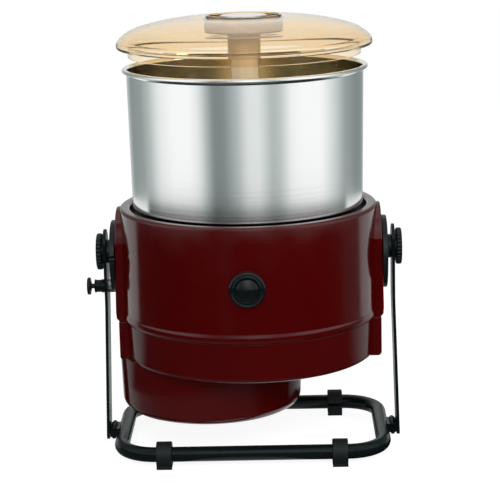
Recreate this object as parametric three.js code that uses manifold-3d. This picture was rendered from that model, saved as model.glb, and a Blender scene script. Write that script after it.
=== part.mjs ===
// Tilting table-top wet grinder, modelled in millimetres with Z up and its front towards -Y.
// The drum turns about Z, and the whole body tilts forward about X between the two uprights.
import * as THREE from 'three';
import { mergeVertices } from 'three/addons/utils/BufferGeometryUtils.js';
import Module from 'manifold-3d';

const wasm = await Module();
wasm.setup();

// Clearances and cutters
const fitGap = 0.3;
const runGap = 0.6;
const seamGap = 0.4;
const overrun = 6;

// Facet counts
const wideSides = 32;
const archSteps = 8;
const discSides = 24;
const midSides = 18;
const smallSides = 14;
const tinySides = 10;
const filletSteps = 2;

// Tubular stand
const tubeDiameter = 15;
const tubeHeight = 13;
const tubeInset = 16;
const standHalfDepth = 83;
const standCornerRadius = 37;
const tubeSides = 10;
const bendSteps = 4;
const bendPullShare = 0.5523;
const weldLength = 24;
const weldDepth = 9;
const weldBeadRadius = 3.2;

// Rubber feet clipped round the tube
const footLength = 15.5;
const footWall = 5.2;
const footBaseWidth = 18;
const footBaseHeight = 5;
const footSlit = 2;

// Flat-bar uprights, welded outside the side tubes
const barWidth = 30;
const barThickness = 3;
const barBottom = 6;
const barHeadRise = 8;
const barSplay = 4;
const barBendDrop = 53;
const barEndRadius = 6;

// Tilt pivot
const bodyClearance = 23;
const boltRadius = 4;
const boltHeadRadius = 7.5;
const boltHeadLength = 6;
const washerRadius = 12;
const washerThickness = 4.4;
const indexDiscRadius = 36.8;
const indexDiscThickness = 5.2;
const indexDiscDrop = 5;
const indexInset = 0.8;
const indexAngles = [0, Math.PI / 4, Math.PI / 2];

// Clamp knobs
const knobRadius = 18.6;
const knobDepth = 6;
const knobCollarRadius = 13;
const knobCollarDepth = 1;
const knobRibs = 14;
const knobRibDepth = 1.3;
const knobRibPoints = 3;
const knobCrown = 1.3;
const knobBoreDepth = 3.6;

// Lock plunger on the left upright, parked clear of the index disc
const plungerPinRadius = 2.5;
const plungerTravel = 3;
const plungerBarrelRadius = 6.9;
const plungerBarrelLength = 10.8;
const plungerSpigotRadius = 5;
const plungerNeckRadius = 4.9;
const plungerNeckLength = 0.8;
const plungerGripRadius = 8.9;
const plungerGripLength = 3.4;
const plungerChamfer = 1.4;

// Upper body shell
const shellRadius = 129.8;
const shellFlare = 0.7;
const shellWall = 3;
const shellAbovePivot = 48;
const shellBelowPivot = 65.6;
const shellHemHeight = 9;
const shellHemProud = 0.9;
const lipWidth = 10.8;
const lipDrop = 10;
const lipRound = 4.6;
const lipWall = 2.5;

// Flat lands on both sides of the body
const landProud = 4.2;
const landMargin = 1;
const landDraft = 1;
const landChamfer = 2.6;
const landTopDrop = 1.8;
const discOverhang = 4.6;

// Lower body shell and motor cup
const lowerInset = 1.6;
const lowerDraft = 1.2;
const lowerDepth = 40;
const lowerEdgeRound = 5;
const lowerLandInset = 1.6;
const lowerLandChamfer = 4;
const ledgeWidth = 8;
const ledgeDepth = 3.4;
const cupInset = 35.2;
const cupDraft = 1.7;
const cupProud = 6.3;
const cupDepth = 53.5;
const cupCornerRadius = 10;
const ventSlots = 12;
const ventInset = 23;
const ventLength = 30;
const ventWidth = 4;

// Splash deck under the drum
const deckThickness = 3;
const deckBoreRadius = 31;
const deckCollarHeight = 7.5;

// Steel chassis inside the body
const chassisThickness = 3;
const chassisInset = 2.6;
const bracketThickness = 3;
const bracketHalfWidth = 28;
const bracketRise = 18;
const bracketFoot = 28;
const housingFlangeRadius = 44;
const housingFlangeHeight = 5.5;
const housingRadius = 27;
const housingDrop = 5.7;
const bearingRadius = 21;
const bearingWidth = 12;
const housingThroatRadius = 12.5;
const bridgeSpace = 10;
const bridgeWidth = 24;
const bridgeRise = 4;

// Fixed spindle and its nut
const spindleRadius = 6;
const spindleFlat = 1.4;
const spindleKeyLength = 70;
const spindleNutRadius = 11;
const spindleNutHeight = 6;
const spindleTail = 5;

// Rotating sleeve and belt drive
const sleeveWall = 3.4;
const sleeveRise = 2;
const driveFlangeRadius = 42;
const driveFlangeThickness = 4.3;
const driveSpigotHeight = 12;
const beltDrop = 18.3;
const beltWidth = 10;
const beltThickness = 3;
const beltTurnSteps = 6;
const pulleySpace = 2.6;
const pulleyFlange = 4;
const pulleyFlangeWidth = 2;
const pinionGrooveRadius = 10;
const pinionFlange = 3.4;
const motorShare = 0.5054;
const motorSpace = 12.5;
const motorFloorRise = 7;
const motorTopRise = 6;
const motorShoulder = 7;
const motorBossRadius = 9;
const motorBossHeight = 5;
const motorShaftRadius = 4;
const motorShaftDepth = 40;
const motorPlateReach = 19;
const motorPlateWidth = 30;
const motorPlateThickness = 3;
const motorSpacerRadius = 4.5;
const motorSpacerInset = 10;

// Push switch on the front
const switchDrop = 11.5;
const bezelRadius = 17.6;
const bezelProud = 4.6;
const bezelBarrelRadius = 15;
const bezelBarrelLength = 22;
const bezelRound = 1.8;
const buttonRadius = 10.9;
const buttonProud = 3.2;
const buttonLength = 19;
const buttonDome = 2.6;
const switchBodyWidth = 24;
const switchBodyDepth = 20;

// Cord gland at the back of the motor cup
const glandRise = 28.5;
const glandNeckRadius = 6;
const glandFlangeRadius = 9;
const glandFlangeThickness = 2.4;
const glandNose = 8;
const glandBoreRadius = 3.4;

// Stainless drum
const drumInset = 11.8;
const drumTaper = 1.8;
const drumSheet = 1.2;
const drumLift = 3;
const drumDepth = 134;
const drumBeadRadius = 3;
const beadSteps = 5;
const beadTurnShare = 1.4;
const drumCornerRadius = 10;
const chimneyHeight = 89;
const chimneyTopRadius = 14.5;
const chimneyBaseRadius = 22;
const chimneyBaseHeight = 7;

// Granite base stone
const stoneInset = 13;
const stoneBoreRadius = 28;
const stoneCrownHeight = 28;
const stoneRound = 3;

// Roller holder
const postRadius = 16.2;
const postNeckRadius = 13.4;
const postRise = 48.1;
const postHeadLength = 37.1;
const hubRadius = 30;
const hubBelow = 12.3;
const hubAbove = 18.7;
const hubWall = 9;
const bellRise = 11;
const chimneyGap = 2;
const capRadius = 23.4;
const capThickness = 3.3;
const capRound = 1;
const capStemRadius = 5;
const capStemLength = 3.6;
const spindleTopDrop = 8.1;
const collarRadius = 39;
const collarWall = 2.1;
const collarHeight = 11.8;
const collarTopDrop = 1;
const collarFloor = 2.3;

// Rollers on their axles
const rollerInnerEnd = 38;
const rollerEndInset = 1;
const rollerInnerRadius = 30;
const rollerOuterRadius = 40;
const rollerRound = 4;
const axleRadius = 5;
const axleHeadRadius = 8.5;
const axleHeadLength = 5;
const bushWall = 2.7;
const bushFlangeRadius = 11;

// Amber lid
const lidRimProud = 9.1;
const lidRimHeight = 5.6;
const lidRimWidth = 5.4;
const lidRimRound = 2.4;
const lidWall = 2.6;
const skirtInset = 2.2;
const skirtDepth = 8.1;
const skirtWall = 1.8;
const lidHoleRadius = 35;
const lidLipRise = 1.6;
const lidLipWidth = 2.6;
const lidCrownRise = 3.1;
const lidDomeRise = 10.4;
const lidShoulderInset = 8;
const lidShoulderRise = 13.2;
const domeRadiusShares = [0.29, 0.56, 0.8];
const domeRiseShares = [0.95, 0.75, 0.42];

// Sizes across that follow from those above
const tubeRadius = tubeDiameter / 2;
const landFace = shellRadius + landProud;
const landPadRadius = indexDiscRadius - discOverhang;
const landRadius = landPadRadius + landMargin;
const lipInnerRadius = shellRadius - lipWidth;
const lowerRadius = shellRadius - lowerInset;
const lowerLandFace = landFace - lowerLandInset;
const cupRadius = lowerRadius - cupInset;
const cupOffset = lowerRadius + cupProud - cupRadius;
const ventInnerRadius = cupRadius - ventInset - ventLength;
const chassisRadius = shellRadius - shellWall - chassisInset;
const discInner = landFace + fitGap;
const discOuter = discInner + indexDiscThickness;
const indexRadius = indexDiscRadius - indexInset;
const washerInner = discOuter + fitGap;
const barInner = washerInner + washerThickness + fitGap;
const barOuter = barInner + barThickness;
const barFoot = barInner + barSplay;
const boltHoleRadius = boltRadius + fitGap;
const knobInner = barOuter + fitGap;
const knobOuter = knobInner + knobCollarDepth + knobDepth;
const barrelEnd = barOuter + fitGap + plungerBarrelLength;
const gripInner = barrelEnd + plungerTravel + fitGap;
const gripOuter = gripInner + plungerNeckLength + plungerGripLength;
const plungerTip = discOuter + fitGap;
const standHalfWidth = barFoot - tubeInset;
const footSpread = standHalfWidth - standCornerRadius - footLength / 2 - fitGap;
const motorRadius = cupRadius * motorShare;
const motorOffset = cupOffset + cupRadius - shellWall - motorSpace - motorRadius;
const motorPlateHalfLength = motorRadius + motorPlateReach;
const motorSpacerSpread = motorPlateHalfLength - motorSpacerInset;
const pulleyGrooveRadius = motorOffset - pinionGrooveRadius - pinionFlange - pulleyFlange - pulleySpace;
const bridgeHalfSpan = pulleyGrooveRadius + pulleyFlange + bridgeSpace;
const sleeveBore = spindleRadius + seamGap;
const sleeveRadius = sleeveBore + sleeveWall;
const drumWallRadius = shellRadius - drumInset;
const stoneRadius = drumWallRadius - stoneInset;
const rollerOuterEnd = stoneRadius - rollerEndInset;
const rollerSpan = rollerOuterEnd - rollerInnerEnd;
const stoneSlope = (rollerOuterRadius - rollerInnerRadius) / rollerSpan;
const lidRimRadius = drumWallRadius + lidRimProud;
const lidShoulderRadius = drumWallRadius - lidShoulderInset;
const skirtRadius = drumWallRadius - skirtInset;
const lidNeckRadius = collarRadius - collarWall - runGap;

// Heights that follow, from the pivot down to the stand and up to the lid
const pivotHeight = tubeHeight + tubeRadius + bodyClearance + cupDepth + lowerDepth + seamGap
  + shellBelowPivot;
const plungerHeight = pivotHeight - indexRadius;
const barBendHeight = pivotHeight - barBendDrop;
const switchHeight = pivotHeight - switchDrop;
const shellTop = pivotHeight + shellAbovePivot;
const landArchHeight = shellTop - landTopDrop - landRadius;
const shellBottom = pivotHeight - shellBelowPivot;
const lowerTop = shellBottom - seamGap;
const lowerBottom = lowerTop - lowerDepth;
const cupBottom = lowerBottom - cupDepth;
const glandHeight = cupBottom + glandRise;
const chassisBottom = lowerTop + fitGap;
const chassisTop = chassisBottom + chassisThickness;
const bridgeBottom = lowerBottom + bridgeRise;
const sleeveBottom = bridgeBottom + bracketThickness + sleeveRise;
const beltPlane = chassisBottom - beltDrop;
const motorBottom = cupBottom + motorFloorRise;
const motorTop = lowerBottom + motorTopRise;
const lipBottom = shellTop - lipDrop;
const deckTop = lipBottom - fitGap;
const housingTop = deckTop - deckThickness - housingDrop;
const drumBottom = shellTop + drumLift;
const drumRimHeight = drumBottom + drumDepth;
const driveFlangeTop = drumBottom - fitGap;
const chimneyTop = drumBottom + chimneyHeight;
const stoneBottom = drumBottom + drumSheet + fitGap;
const axleHeight = stoneBottom + stoneCrownHeight + fitGap + rollerInnerRadius
  + stoneSlope * (stoneBoreRadius - rollerInnerEnd);
const hubBottom = axleHeight - hubBelow;
const hubTop = axleHeight + hubAbove;
const bellTop = chimneyTop + bellRise;
const postTop = drumRimHeight + postRise;
const postShoulder = postTop - postHeadLength;
const spindleTop = postTop - spindleTopDrop;
const collarTop = postTop - collarTopDrop;
const collarBottom = collarTop - collarHeight;
const lidCrownHeight = collarTop + lidCrownRise;
const lidLipTop = lidCrownHeight + lidLipRise;
const lidShoulderHeight = lidCrownHeight - lidDomeRise;
const lidRimBottom = lidShoulderHeight - lidShoulderRise - lidRimHeight;
const skirtBottom = lidRimBottom - skirtDepth;
const lidNeckBottom = collarBottom + collarFloor + fitGap;

// The model's origin is under the middle of its outer box
const frontReach = shellRadius + bezelProud + buttonProud;
const backReach = shellRadius + shellFlare + shellHemProud;
const centreX = (gripOuter - knobOuter) / 2;
const centreY = (frontReach - backReach) / 2;

// Shape helpers

// Gives the corners [x, y, radius] of an outline as points, with an arc at each corner that has a radius.
function filleted(corners, steps = filletSteps) {
  const points = [];
  corners.forEach(([x, y, radius = 0], i) => {
    const corner = new THREE.Vector2(x, y);
    if (radius === 0) {
      points.push(corner);
      return;
    }
    const before = corners.at(i - 1);
    const after = corners[(i + 1) % corners.length];
    const back = new THREE.Vector2(before[0], before[1]).sub(corner).normalize();
    const ahead = new THREE.Vector2(after[0], after[1]).sub(corner).normalize();
    const half = Math.acos(THREE.MathUtils.clamp(back.dot(ahead), -1, 1)) / 2;
    const inward = back.clone().add(ahead).normalize();
    const centre = corner.clone().addScaledVector(inward, radius / Math.sin(half));
    const start = corner.clone().addScaledVector(back, radius / Math.tan(half)).sub(centre);
    const end = corner.clone().addScaledVector(ahead, radius / Math.tan(half)).sub(centre);
    const turn = Math.atan2(start.cross(end), start.dot(end));
    for (let step = 0; step <= steps; step += 1) {
      const spoke = start.clone().rotateAround(new THREE.Vector2(), (turn * step) / steps);
      points.push(spoke.add(centre));
    }
  });
  return points;
}

// Merges the shared vertices of a geometry and turns its faces outward.
function closed(geometry) {
  const bare = geometry.index ? geometry.toNonIndexed() : geometry.clone();
  bare.deleteAttribute('normal');
  bare.deleteAttribute('uv');
  const merged = mergeVertices(bare);
  const index = merged.index.array;
  const kept = [];
  for (let i = 0; i < index.length; i += 3) {
    const [a, b, c] = [index[i], index[i + 1], index[i + 2]];
    if (a !== b && b !== c && c !== a) {
      kept.push(a, b, c);
    }
  }
  if (signedVolume(merged.attributes.position, kept) < 0) {
    kept.reverse();
  }
  merged.setIndex(kept);
  return merged;
}

function signedVolume(position, index) {
  const [a, b, c] = [new THREE.Vector3(), new THREE.Vector3(), new THREE.Vector3()];
  let volume = 0;
  for (let i = 0; i < index.length; i += 3) {
    a.fromBufferAttribute(position, index[i]);
    b.fromBufferAttribute(position, index[i + 1]);
    c.fromBufferAttribute(position, index[i + 2]);
    volume += a.dot(b.cross(c));
  }
  return volume;
}

function toSolid(geometry) {
  const body = closed(geometry);
  const mesh = new wasm.Mesh({
    numProp: 3,
    vertProperties: new Float32Array(body.attributes.position.array),
    triVerts: new Uint32Array(body.index.array),
  });
  return new wasm.Manifold(mesh);
}

function toGeometry(solid) {
  const mesh = solid.getMesh();
  const geometry = new THREE.BufferGeometry();
  geometry.setAttribute('position', new THREE.BufferAttribute(mesh.vertProperties, mesh.numProp));
  geometry.setIndex(new THREE.BufferAttribute(mesh.triVerts, 1));
  return geometry;
}

const join = (first, ...others) =>
  toGeometry(others.reduce((sum, other) => sum.add(toSolid(other)), toSolid(first)));
const cut = (first, ...others) =>
  toGeometry(others.reduce((rest, other) => rest.subtract(toSolid(other)), toSolid(first)));
const common = (first, second) => toGeometry(toSolid(first).intersect(toSolid(second)));

// Solid of revolution about Z from the corners [radius, height, fillet] of a closed half section.
function revolve(corners, sides = wideSides, steps = filletSteps) {
  const points = filleted(corners, steps);
  points.push(points[0].clone());
  return closed(new THREE.LatheGeometry(points, sides).rotateX(Math.PI / 2));
}

const rod = (radius, from, to, sides = smallSides) =>
  revolve([[0, from], [radius, from], [radius, to], [0, to]], sides);

// Prism of an outline in XY, from one height to another.
function prism(corners, from, to, steps = filletSteps) {
  const shape = new THREE.Shape(filleted(corners, steps));
  const block = new THREE.ExtrudeGeometry(shape, { depth: to - from, bevelEnabled: false });
  return closed(block.translate(0, 0, from));
}

// Turns Z into the given direction: to the right (+X), or to the front (-Y) with X kept.
const towardRight = (geometry) =>
  geometry.applyMatrix4(new THREE.Matrix4().set(0, 0, 1, 0, 1, 0, 0, 0, 0, 1, 0, 0, 0, 0, 0, 1));
const towardFront = (geometry) => geometry.rotateX(Math.PI / 2);

// The right-hand piece as it is, or its mirror image on the left.
function onSide(side, geometry) {
  return side > 0 ? geometry : closed(geometry.scale(-1, 1, 1));
}

const rectangle = (x0, y0, x1, y1, radius = 0) =>
  [[x0, y0, radius], [x1, y0, radius], [x1, y1, radius], [x0, y1, radius]];

// Adds a piece to its group under its own name.
function add(group, name, geometry, finish, [x, y, z] = [0, 0, 0]) {
  const mesh = new THREE.Mesh(geometry, finish);
  mesh.name = name;
  mesh.position.set(x, y, z);
  group.add(mesh);
}

// Finishes
const finish = (color, roughness, metalness) =>
  new THREE.MeshStandardMaterial({ color, roughness, metalness });
const blackEnamel = () => finish(0x15191b, 0.35, 0.2);
const blackPlastic = () => finish(0x0d0f10, 0.4, 0);
const blackRubber = () => finish(0x1b1d1e, 0.8, 0);
const maroonGloss = () => finish(0x480409, 0.18, 0);
const stainless = () => finish(0xc9cdcc, 0.3, 1);
const chromePlate = () => finish(0xd8dadb, 0.12, 1);
const zincSteel = () => finish(0x9da1a4, 0.45, 1);
const castAluminium = () => finish(0xa9acae, 0.55, 1);
const creamPlastic = () => finish(0xdfcdb5, 0.5, 0);
const frostedPlastic = () => finish(0xd9d4e2, 0.45, 0);
const amberPlastic = () => finish(0xd9a441, 0.15, 0);
const granite = () => finish(0x4d5052, 0.75, 0);
const nylon = () => finish(0xe6e2d6, 0.5, 0);
const motorEnamel = () => finish(0x3a4148, 0.5, 0.4);

// Stand

// Path of several curves, each with its own number of steps.
class SteppedPath extends THREE.Curve {
  constructor(pieces) {
    super();
    this.spans = pieces.flatMap(([curve, steps]) =>
      Array.from({ length: steps }, (_, i) => [curve, i / steps, 1 / steps]));
  }

  place(share) {
    const index = Math.min(Math.floor(share * this.spans.length), this.spans.length - 1);
    const [curve, from, width] = this.spans[index];
    return [curve, Math.min(from + (share * this.spans.length - index) * width, 1)];
  }

  getPointAt(share, target = new THREE.Vector3()) {
    const [curve, along] = this.place(share);
    return curve.getPoint(along, target);
  }

  getTangentAt(share, target = new THREE.Vector3()) {
    const [curve, along] = this.place(share);
    return curve.getTangent(along, target);
  }
}

// Half of the stand's loop, seen from above: straight side, bend, front run, bend, straight side.
function loopHalf(towardY) {
  const straight = standHalfDepth - standCornerRadius;
  const run = standHalfWidth - standCornerRadius;
  const pull = standCornerRadius * bendPullShare;
  const at = (x, y) => new THREE.Vector3(x, towardY * y, tubeHeight);
  const bend = (side) => new THREE.CubicBezierCurve3(
    at(side * standHalfWidth, straight), at(side * standHalfWidth, straight + pull),
    at(side * (run + pull), standHalfDepth), at(side * run, standHalfDepth));
  const bendBack = (side) => new THREE.CubicBezierCurve3(
    at(side * run, standHalfDepth), at(side * (run + pull), standHalfDepth),
    at(side * standHalfWidth, straight + pull), at(side * standHalfWidth, straight));
  const path = new SteppedPath([
    [new THREE.LineCurve3(at(standHalfWidth, 0), at(standHalfWidth, straight)), 1],
    [bend(1), bendSteps],
    [new THREE.LineCurve3(at(run, standHalfDepth), at(-run, standHalfDepth)), 1],
    [bendBack(-1), bendSteps],
    [new THREE.LineCurve3(at(-standHalfWidth, straight), at(-standHalfWidth, 0)), 1],
  ]);
  const circle = new THREE.EllipseCurve(0, 0, tubeRadius, tubeRadius);
  const section = new THREE.Shape(circle.getPoints(tubeSides).slice(0, -1));
  return new THREE.ExtrudeGeometry(section, { steps: path.spans.length, extrudePath: path });
}

// Weld between a side tube and its upright: a filled joint with a rounded bead above and below.
function weld(side) {
  const from = standHalfWidth + tubeRadius / 2;
  const to = barFoot - seamGap;
  const fill = prism(rectangle(from, -weldLength / 2, to, weldLength / 2), tubeHeight - weldDepth / 2,
    tubeHeight + weldDepth / 2);
  const beads = [-1, 1].map((level) => {
    const bead = new THREE.CapsuleGeometry(weldBeadRadius, weldLength, 2, 8);
    const height = tubeHeight + (level * weldDepth) / 2;
    return bead.translate(to - weldBeadRadius, 0, height);
  });
  return onSide(side, join(fill, ...beads));
}

function foot(corner) {
  const outer = tubeRadius + fitGap + footWall;
  const round = towardRight(rod(outer, -footLength / 2, footLength / 2));
  const half = footBaseWidth / 2;
  const base = towardRight(prism(rectangle(-half, -tubeHeight, half, footBaseHeight - tubeHeight),
    -footLength / 2, footLength / 2));
  const level = rectangle(-outer, -tubeHeight, outer, outer);
  const floor = towardRight(prism(level, -footLength, footLength));
  const bore = towardRight(rod(tubeRadius + fitGap, -footLength, footLength, tubeSides));
  const slit = towardRight(prism(rectangle(0, -footSlit / 2, outer + overrun, footSlit / 2),
    -footLength, footLength));
  const clip = cut(common(join(round, base), floor), bore, slit);
  return corner > 0 ? clip.rotateZ(Math.PI) : clip;
}

// Flat bar with round ends that leans out from the bend down to the weld.
function upright(side) {
  const top = pivotHeight + barHeadRise + barWidth / 2;
  const edge = [[barInner, barBendHeight], [barFoot, barBottom], [barFoot + barThickness, barBottom],
    [barOuter, barBendHeight], [barOuter, top], [barInner, top]];
  const strip = towardFront(prism(edge, -barWidth, barWidth));
  const half = barWidth / 2;
  const outline = [[-half, barBottom, barEndRadius], [half, barBottom, barEndRadius],
    [half, top, half], [-half, top, half]];
  const ends = towardRight(prism(outline, barInner - overrun, barFoot + overrun, 4));
  const pivotHole = towardRight(rod(boltHoleRadius, barInner - overrun, barOuter + overrun, tinySides));
  const holes = [pivotHole.translate(0, 0, pivotHeight)];
  if (side < 0) {
    const lockHole = rod(plungerSpigotRadius + fitGap, barInner - overrun, barOuter + overrun, tinySides);
    holes.push(towardRight(lockHole).translate(0, 0, plungerHeight));
  }
  return onSide(side, cut(common(strip, ends), ...holes));
}

function plungerNut() {
  const nut = revolve([[plungerSpigotRadius + fitGap, washerInner], [plungerBarrelRadius, washerInner],
    [plungerBarrelRadius, washerInner + washerThickness],
    [plungerSpigotRadius + fitGap, washerInner + washerThickness]], tinySides);
  return onSide(-1, towardRight(nut));
}

function plungerBarrel() {
  const spigotEnd = washerInner;
  const bore = plungerPinRadius + fitGap;
  const barrel = revolve([[bore, spigotEnd], [plungerSpigotRadius, spigotEnd],
    [plungerSpigotRadius, barOuter + fitGap], [plungerBarrelRadius, barOuter + fitGap],
    [plungerBarrelRadius, barrelEnd - plungerChamfer],
    [plungerBarrelRadius - plungerChamfer, barrelEnd], [bore, barrelEnd]], tinySides);
  return onSide(-1, towardRight(barrel));
}

function lockPlunger() {
  const plunger = revolve([[0, plungerTip], [plungerPinRadius, plungerTip, plungerPinRadius / 3],
    [plungerPinRadius, gripInner], [plungerNeckRadius, gripInner],
    [plungerNeckRadius, gripInner + plungerNeckLength],
    [plungerGripRadius, gripInner + plungerNeckLength, plungerGripLength / 4],
    [plungerGripRadius, gripOuter, plungerGripLength / 4], [0, gripOuter]], smallSides, 1);
  return onSide(-1, towardRight(plunger));
}

// Body shells

// Arched outline of the side land in YZ, from a bottom edge up to just under the lip.
function landOutline(radius, bottom) {
  const points = [[-radius, bottom], [radius, bottom]];
  for (let i = 0; i <= archSteps; i += 1) {
    const angle = (i / archSteps) * Math.PI;
    points.push([radius * Math.cos(angle), landArchHeight + radius * Math.sin(angle)]);
  }
  return points;
}

// Drafted side land of the upper shell with a flat round pad and clear ground under the disc.
function upperLand() {
  const inside = shellRadius - landRadius;
  const arch = towardRight(prism(landOutline(landRadius, shellBottom), inside, landFace + overrun));
  const top = landArchHeight + landRadius + overrun;
  const draft = towardFront(prism([[inside, shellBottom], [landFace - landChamfer, shellBottom],
    [landFace + landDraft, shellBottom + shellHemHeight], [landFace - landDraft, top], [inside, top]],
  -landRadius - overrun, landRadius + overrun));
  const padHeight = pivotHeight - indexDiscDrop;
  const pad = towardRight(rod(landPadRadius, inside, landFace, midSides)).translate(0, 0, padHeight);
  const spot = towardRight(rod(indexDiscRadius + landMargin, landFace, landFace + overrun, midSides));
  return cut(join(common(arch, draft), pad), spot.translate(0, 0, padHeight));
}

function upperShell() {
  const bottomRadius = shellRadius + shellFlare;
  const inner = shellRadius - shellWall;
  const hem = bottomRadius + shellHemProud;
  const skin = revolve([[inner, shellBottom], [bottomRadius - shellHemProud, shellBottom],
    [hem, shellBottom + shellHemHeight / 3], [hem, shellBottom + (2 * shellHemHeight) / 3],
    [bottomRadius, shellBottom + shellHemHeight], [shellRadius, shellTop, lipRound],
    [lipInnerRadius, shellTop, lipRound], [lipInnerRadius, lipBottom],
    [lipInnerRadius + lipWall, lipBottom], [lipInnerRadius + lipWall, shellTop - shellWall],
    [inner, shellTop - shellWall]]);
  const right = upperLand();
  const left = onSide(-1, upperLand());
  const core = rod(inner, shellBottom - overrun, shellTop, wideSides);
  const pocketOutline = landOutline(landRadius - shellWall, shellBottom - overrun);
  const pocketInner = lipInnerRadius + lipWall + fitGap;
  const pocket = towardRight(prism(pocketOutline, pocketInner, landFace - shellWall));
  const pivot = towardRight(rod(boltHoleRadius, -landFace - overrun, landFace + overrun, tinySides));
  const switchHole = towardFront(rod(bezelBarrelRadius + fitGap, lipInnerRadius,
    shellRadius + overrun, midSides));
  return cut(join(skin, cut(join(right, left), core)), pocket, onSide(-1, pocket.clone()),
    pivot.translate(0, 0, pivotHeight), switchHole.translate(0, 0, switchHeight));
}

// Radial air slots in the floor of the motor cup.
function ventPattern() {
  const slots = [];
  for (let i = 0; i < ventSlots; i += 1) {
    const slot = prism(rectangle(ventInnerRadius, -ventWidth / 2, ventInnerRadius + ventLength,
      ventWidth / 2), cupBottom - overrun, cupBottom + shellWall + overrun);
    slots.push(slot.rotateZ((i / ventSlots) * 2 * Math.PI).translate(-cupOffset, 0, 0));
  }
  return slots;
}

function lowerLand() {
  const inside = lowerRadius - landRadius;
  const edge = [[inside, lowerBottom], [lowerLandFace - lowerLandChamfer, lowerBottom],
    [lowerLandFace, lowerBottom + lowerLandChamfer], [lowerLandFace, lowerTop], [inside, lowerTop]];
  return towardFront(prism(edge, -landRadius, landRadius));
}

function lowerShell() {
  const floorRadius = lowerRadius - lowerDraft;
  const bowl = revolve([[0, lowerBottom], [floorRadius, lowerBottom, lowerEdgeRound],
    [lowerRadius, lowerTop], [0, lowerTop]]);
  const cupFloor = cupRadius - cupDraft;
  const spaceTop = lowerBottom + shellWall + fitGap;
  const cup = revolve([[0, cupBottom], [cupFloor, cupBottom, cupCornerRadius],
    [cupRadius, spaceTop + fitGap], [0, spaceTop + fitGap]])
    .translate(-cupOffset, 0, 0);
  const bowlSpace = revolve([[0, lowerBottom + shellWall],
    [floorRadius - shellWall, lowerBottom + shellWall], [lowerRadius - shellWall, lowerTop + overrun],
    [0, lowerTop + overrun]]);
  const cupSpace = revolve([[0, cupBottom + shellWall],
    [cupFloor - shellWall, cupBottom + shellWall, cupCornerRadius - shellWall],
    [cupRadius - shellWall, spaceTop], [0, spaceTop]], wideSides, 1)
    .translate(-cupOffset, 0, 0);
  const outerLedge = lowerRadius - shellWall / 2;
  const ledge = revolve([[outerLedge - ledgeWidth, lowerTop - ledgeDepth],
    [outerLedge, lowerTop - ledgeDepth], [outerLedge, lowerTop], [outerLedge - ledgeWidth, lowerTop]]);
  const gland = towardFront(rod(glandNeckRadius + fitGap, -cupRadius - overrun,
    shellWall * 2 - cupRadius, tinySides)).translate(-cupOffset, 0, glandHeight);
  const walls = join(bowl, cup, lowerLand(), onSide(-1, lowerLand()));
  return cut(join(cut(walls, bowlSpace, cupSpace), ledge), gland, ...ventPattern());
}

function splashDeck() {
  const collarTopZ = deckTop + deckCollarHeight;
  return revolve([[deckBoreRadius, deckTop - deckThickness],
    [shellRadius - shellWall - runGap, deckTop - deckThickness],
    [shellRadius - shellWall - runGap, deckTop], [deckBoreRadius + deckThickness, deckTop],
    [deckBoreRadius + deckThickness, collarTopZ], [deckBoreRadius, collarTopZ]], discSides);
}

function indexDisc(side) {
  const blank = towardRight(revolve([[0, discInner], [indexDiscRadius, discInner],
    [indexDiscRadius, discOuter, indexDiscThickness / 5], [0, discOuter]], discSides, 1));
  const disc = blank.translate(0, 0, pivotHeight - indexDiscDrop);
  const bore = (radius, y, z) => towardRight(rod(radius, discInner - overrun, discOuter + overrun,
    tinySides)).translate(0, y, z);
  const holes = [bore(boltHoleRadius, 0, pivotHeight)];
  if (side < 0) {
    indexAngles.forEach((angle) => {
      holes.push(bore(plungerPinRadius + fitGap, -indexRadius * Math.sin(angle),
        pivotHeight - indexRadius * Math.cos(angle)));
    });
  }
  return onSide(side, cut(disc, ...holes));
}

function pivotWasher(side) {
  const washer = revolve([[boltHoleRadius, washerInner], [washerRadius, washerInner],
    [washerRadius, washerInner + washerThickness], [boltHoleRadius, washerInner + washerThickness]],
  smallSides);
  return onSide(side, towardRight(washer).translate(0, 0, pivotHeight));
}

// Bolt with its hexagon head inside the bracket and its thread in the clamp knob.
function pivotBolt(side) {
  const headOuter = landFace - shellWall - bracketThickness - 2 * fitGap;
  const head = rod(boltHeadRadius, headOuter - boltHeadLength, headOuter, 6);
  const end = knobInner + knobCollarDepth + knobBoreDepth - fitGap;
  const shank = rod(boltRadius, headOuter - boltHeadLength / 2, end, tinySides);
  return onSide(side, towardRight(join(head, shank)).translate(0, 0, pivotHeight));
}

// Chassis

function chassisPlate() {
  return revolve([[housingThroatRadius, chassisBottom], [chassisRadius, chassisBottom],
    [chassisRadius, chassisTop], [housingThroatRadius, chassisTop]], discSides);
}

function sideBracket(side) {
  const outer = landFace - shellWall - fitGap;
  const inner = outer - bracketThickness;
  const base = chassisTop + fitGap;
  const top = pivotHeight + bracketRise;
  const edge = [[outer - bracketFoot, base], [outer, base, bracketThickness + overrun / 3],
    [outer, top], [inner, top], [inner, base + bracketThickness, overrun / 3],
    [outer - bracketFoot, base + bracketThickness]];
  const angle = towardFront(prism(edge, -bracketHalfWidth, bracketHalfWidth));
  const hole = towardRight(rod(boltHoleRadius, inner - overrun, outer + overrun, tinySides));
  return onSide(side, cut(angle, hole.translate(0, 0, pivotHeight)));
}

function bearingHousing() {
  const base = chassisTop + fitGap;
  const bore = bearingRadius + fitGap;
  const lowerSeat = base + housingFlangeHeight + bearingWidth;
  const upperSeat = housingTop - bearingWidth - fitGap;
  return revolve([[bore, base], [housingFlangeRadius, base],
    [housingFlangeRadius, base + housingFlangeHeight],
    [housingRadius + housingFlangeHeight, base + housingFlangeHeight],
    [housingRadius, base + 2 * housingFlangeHeight], [housingRadius, housingTop], [bore, housingTop],
    [bore, upperSeat], [housingThroatRadius, upperSeat], [housingThroatRadius, lowerSeat],
    [bore, lowerSeat]], smallSides);
}

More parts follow.
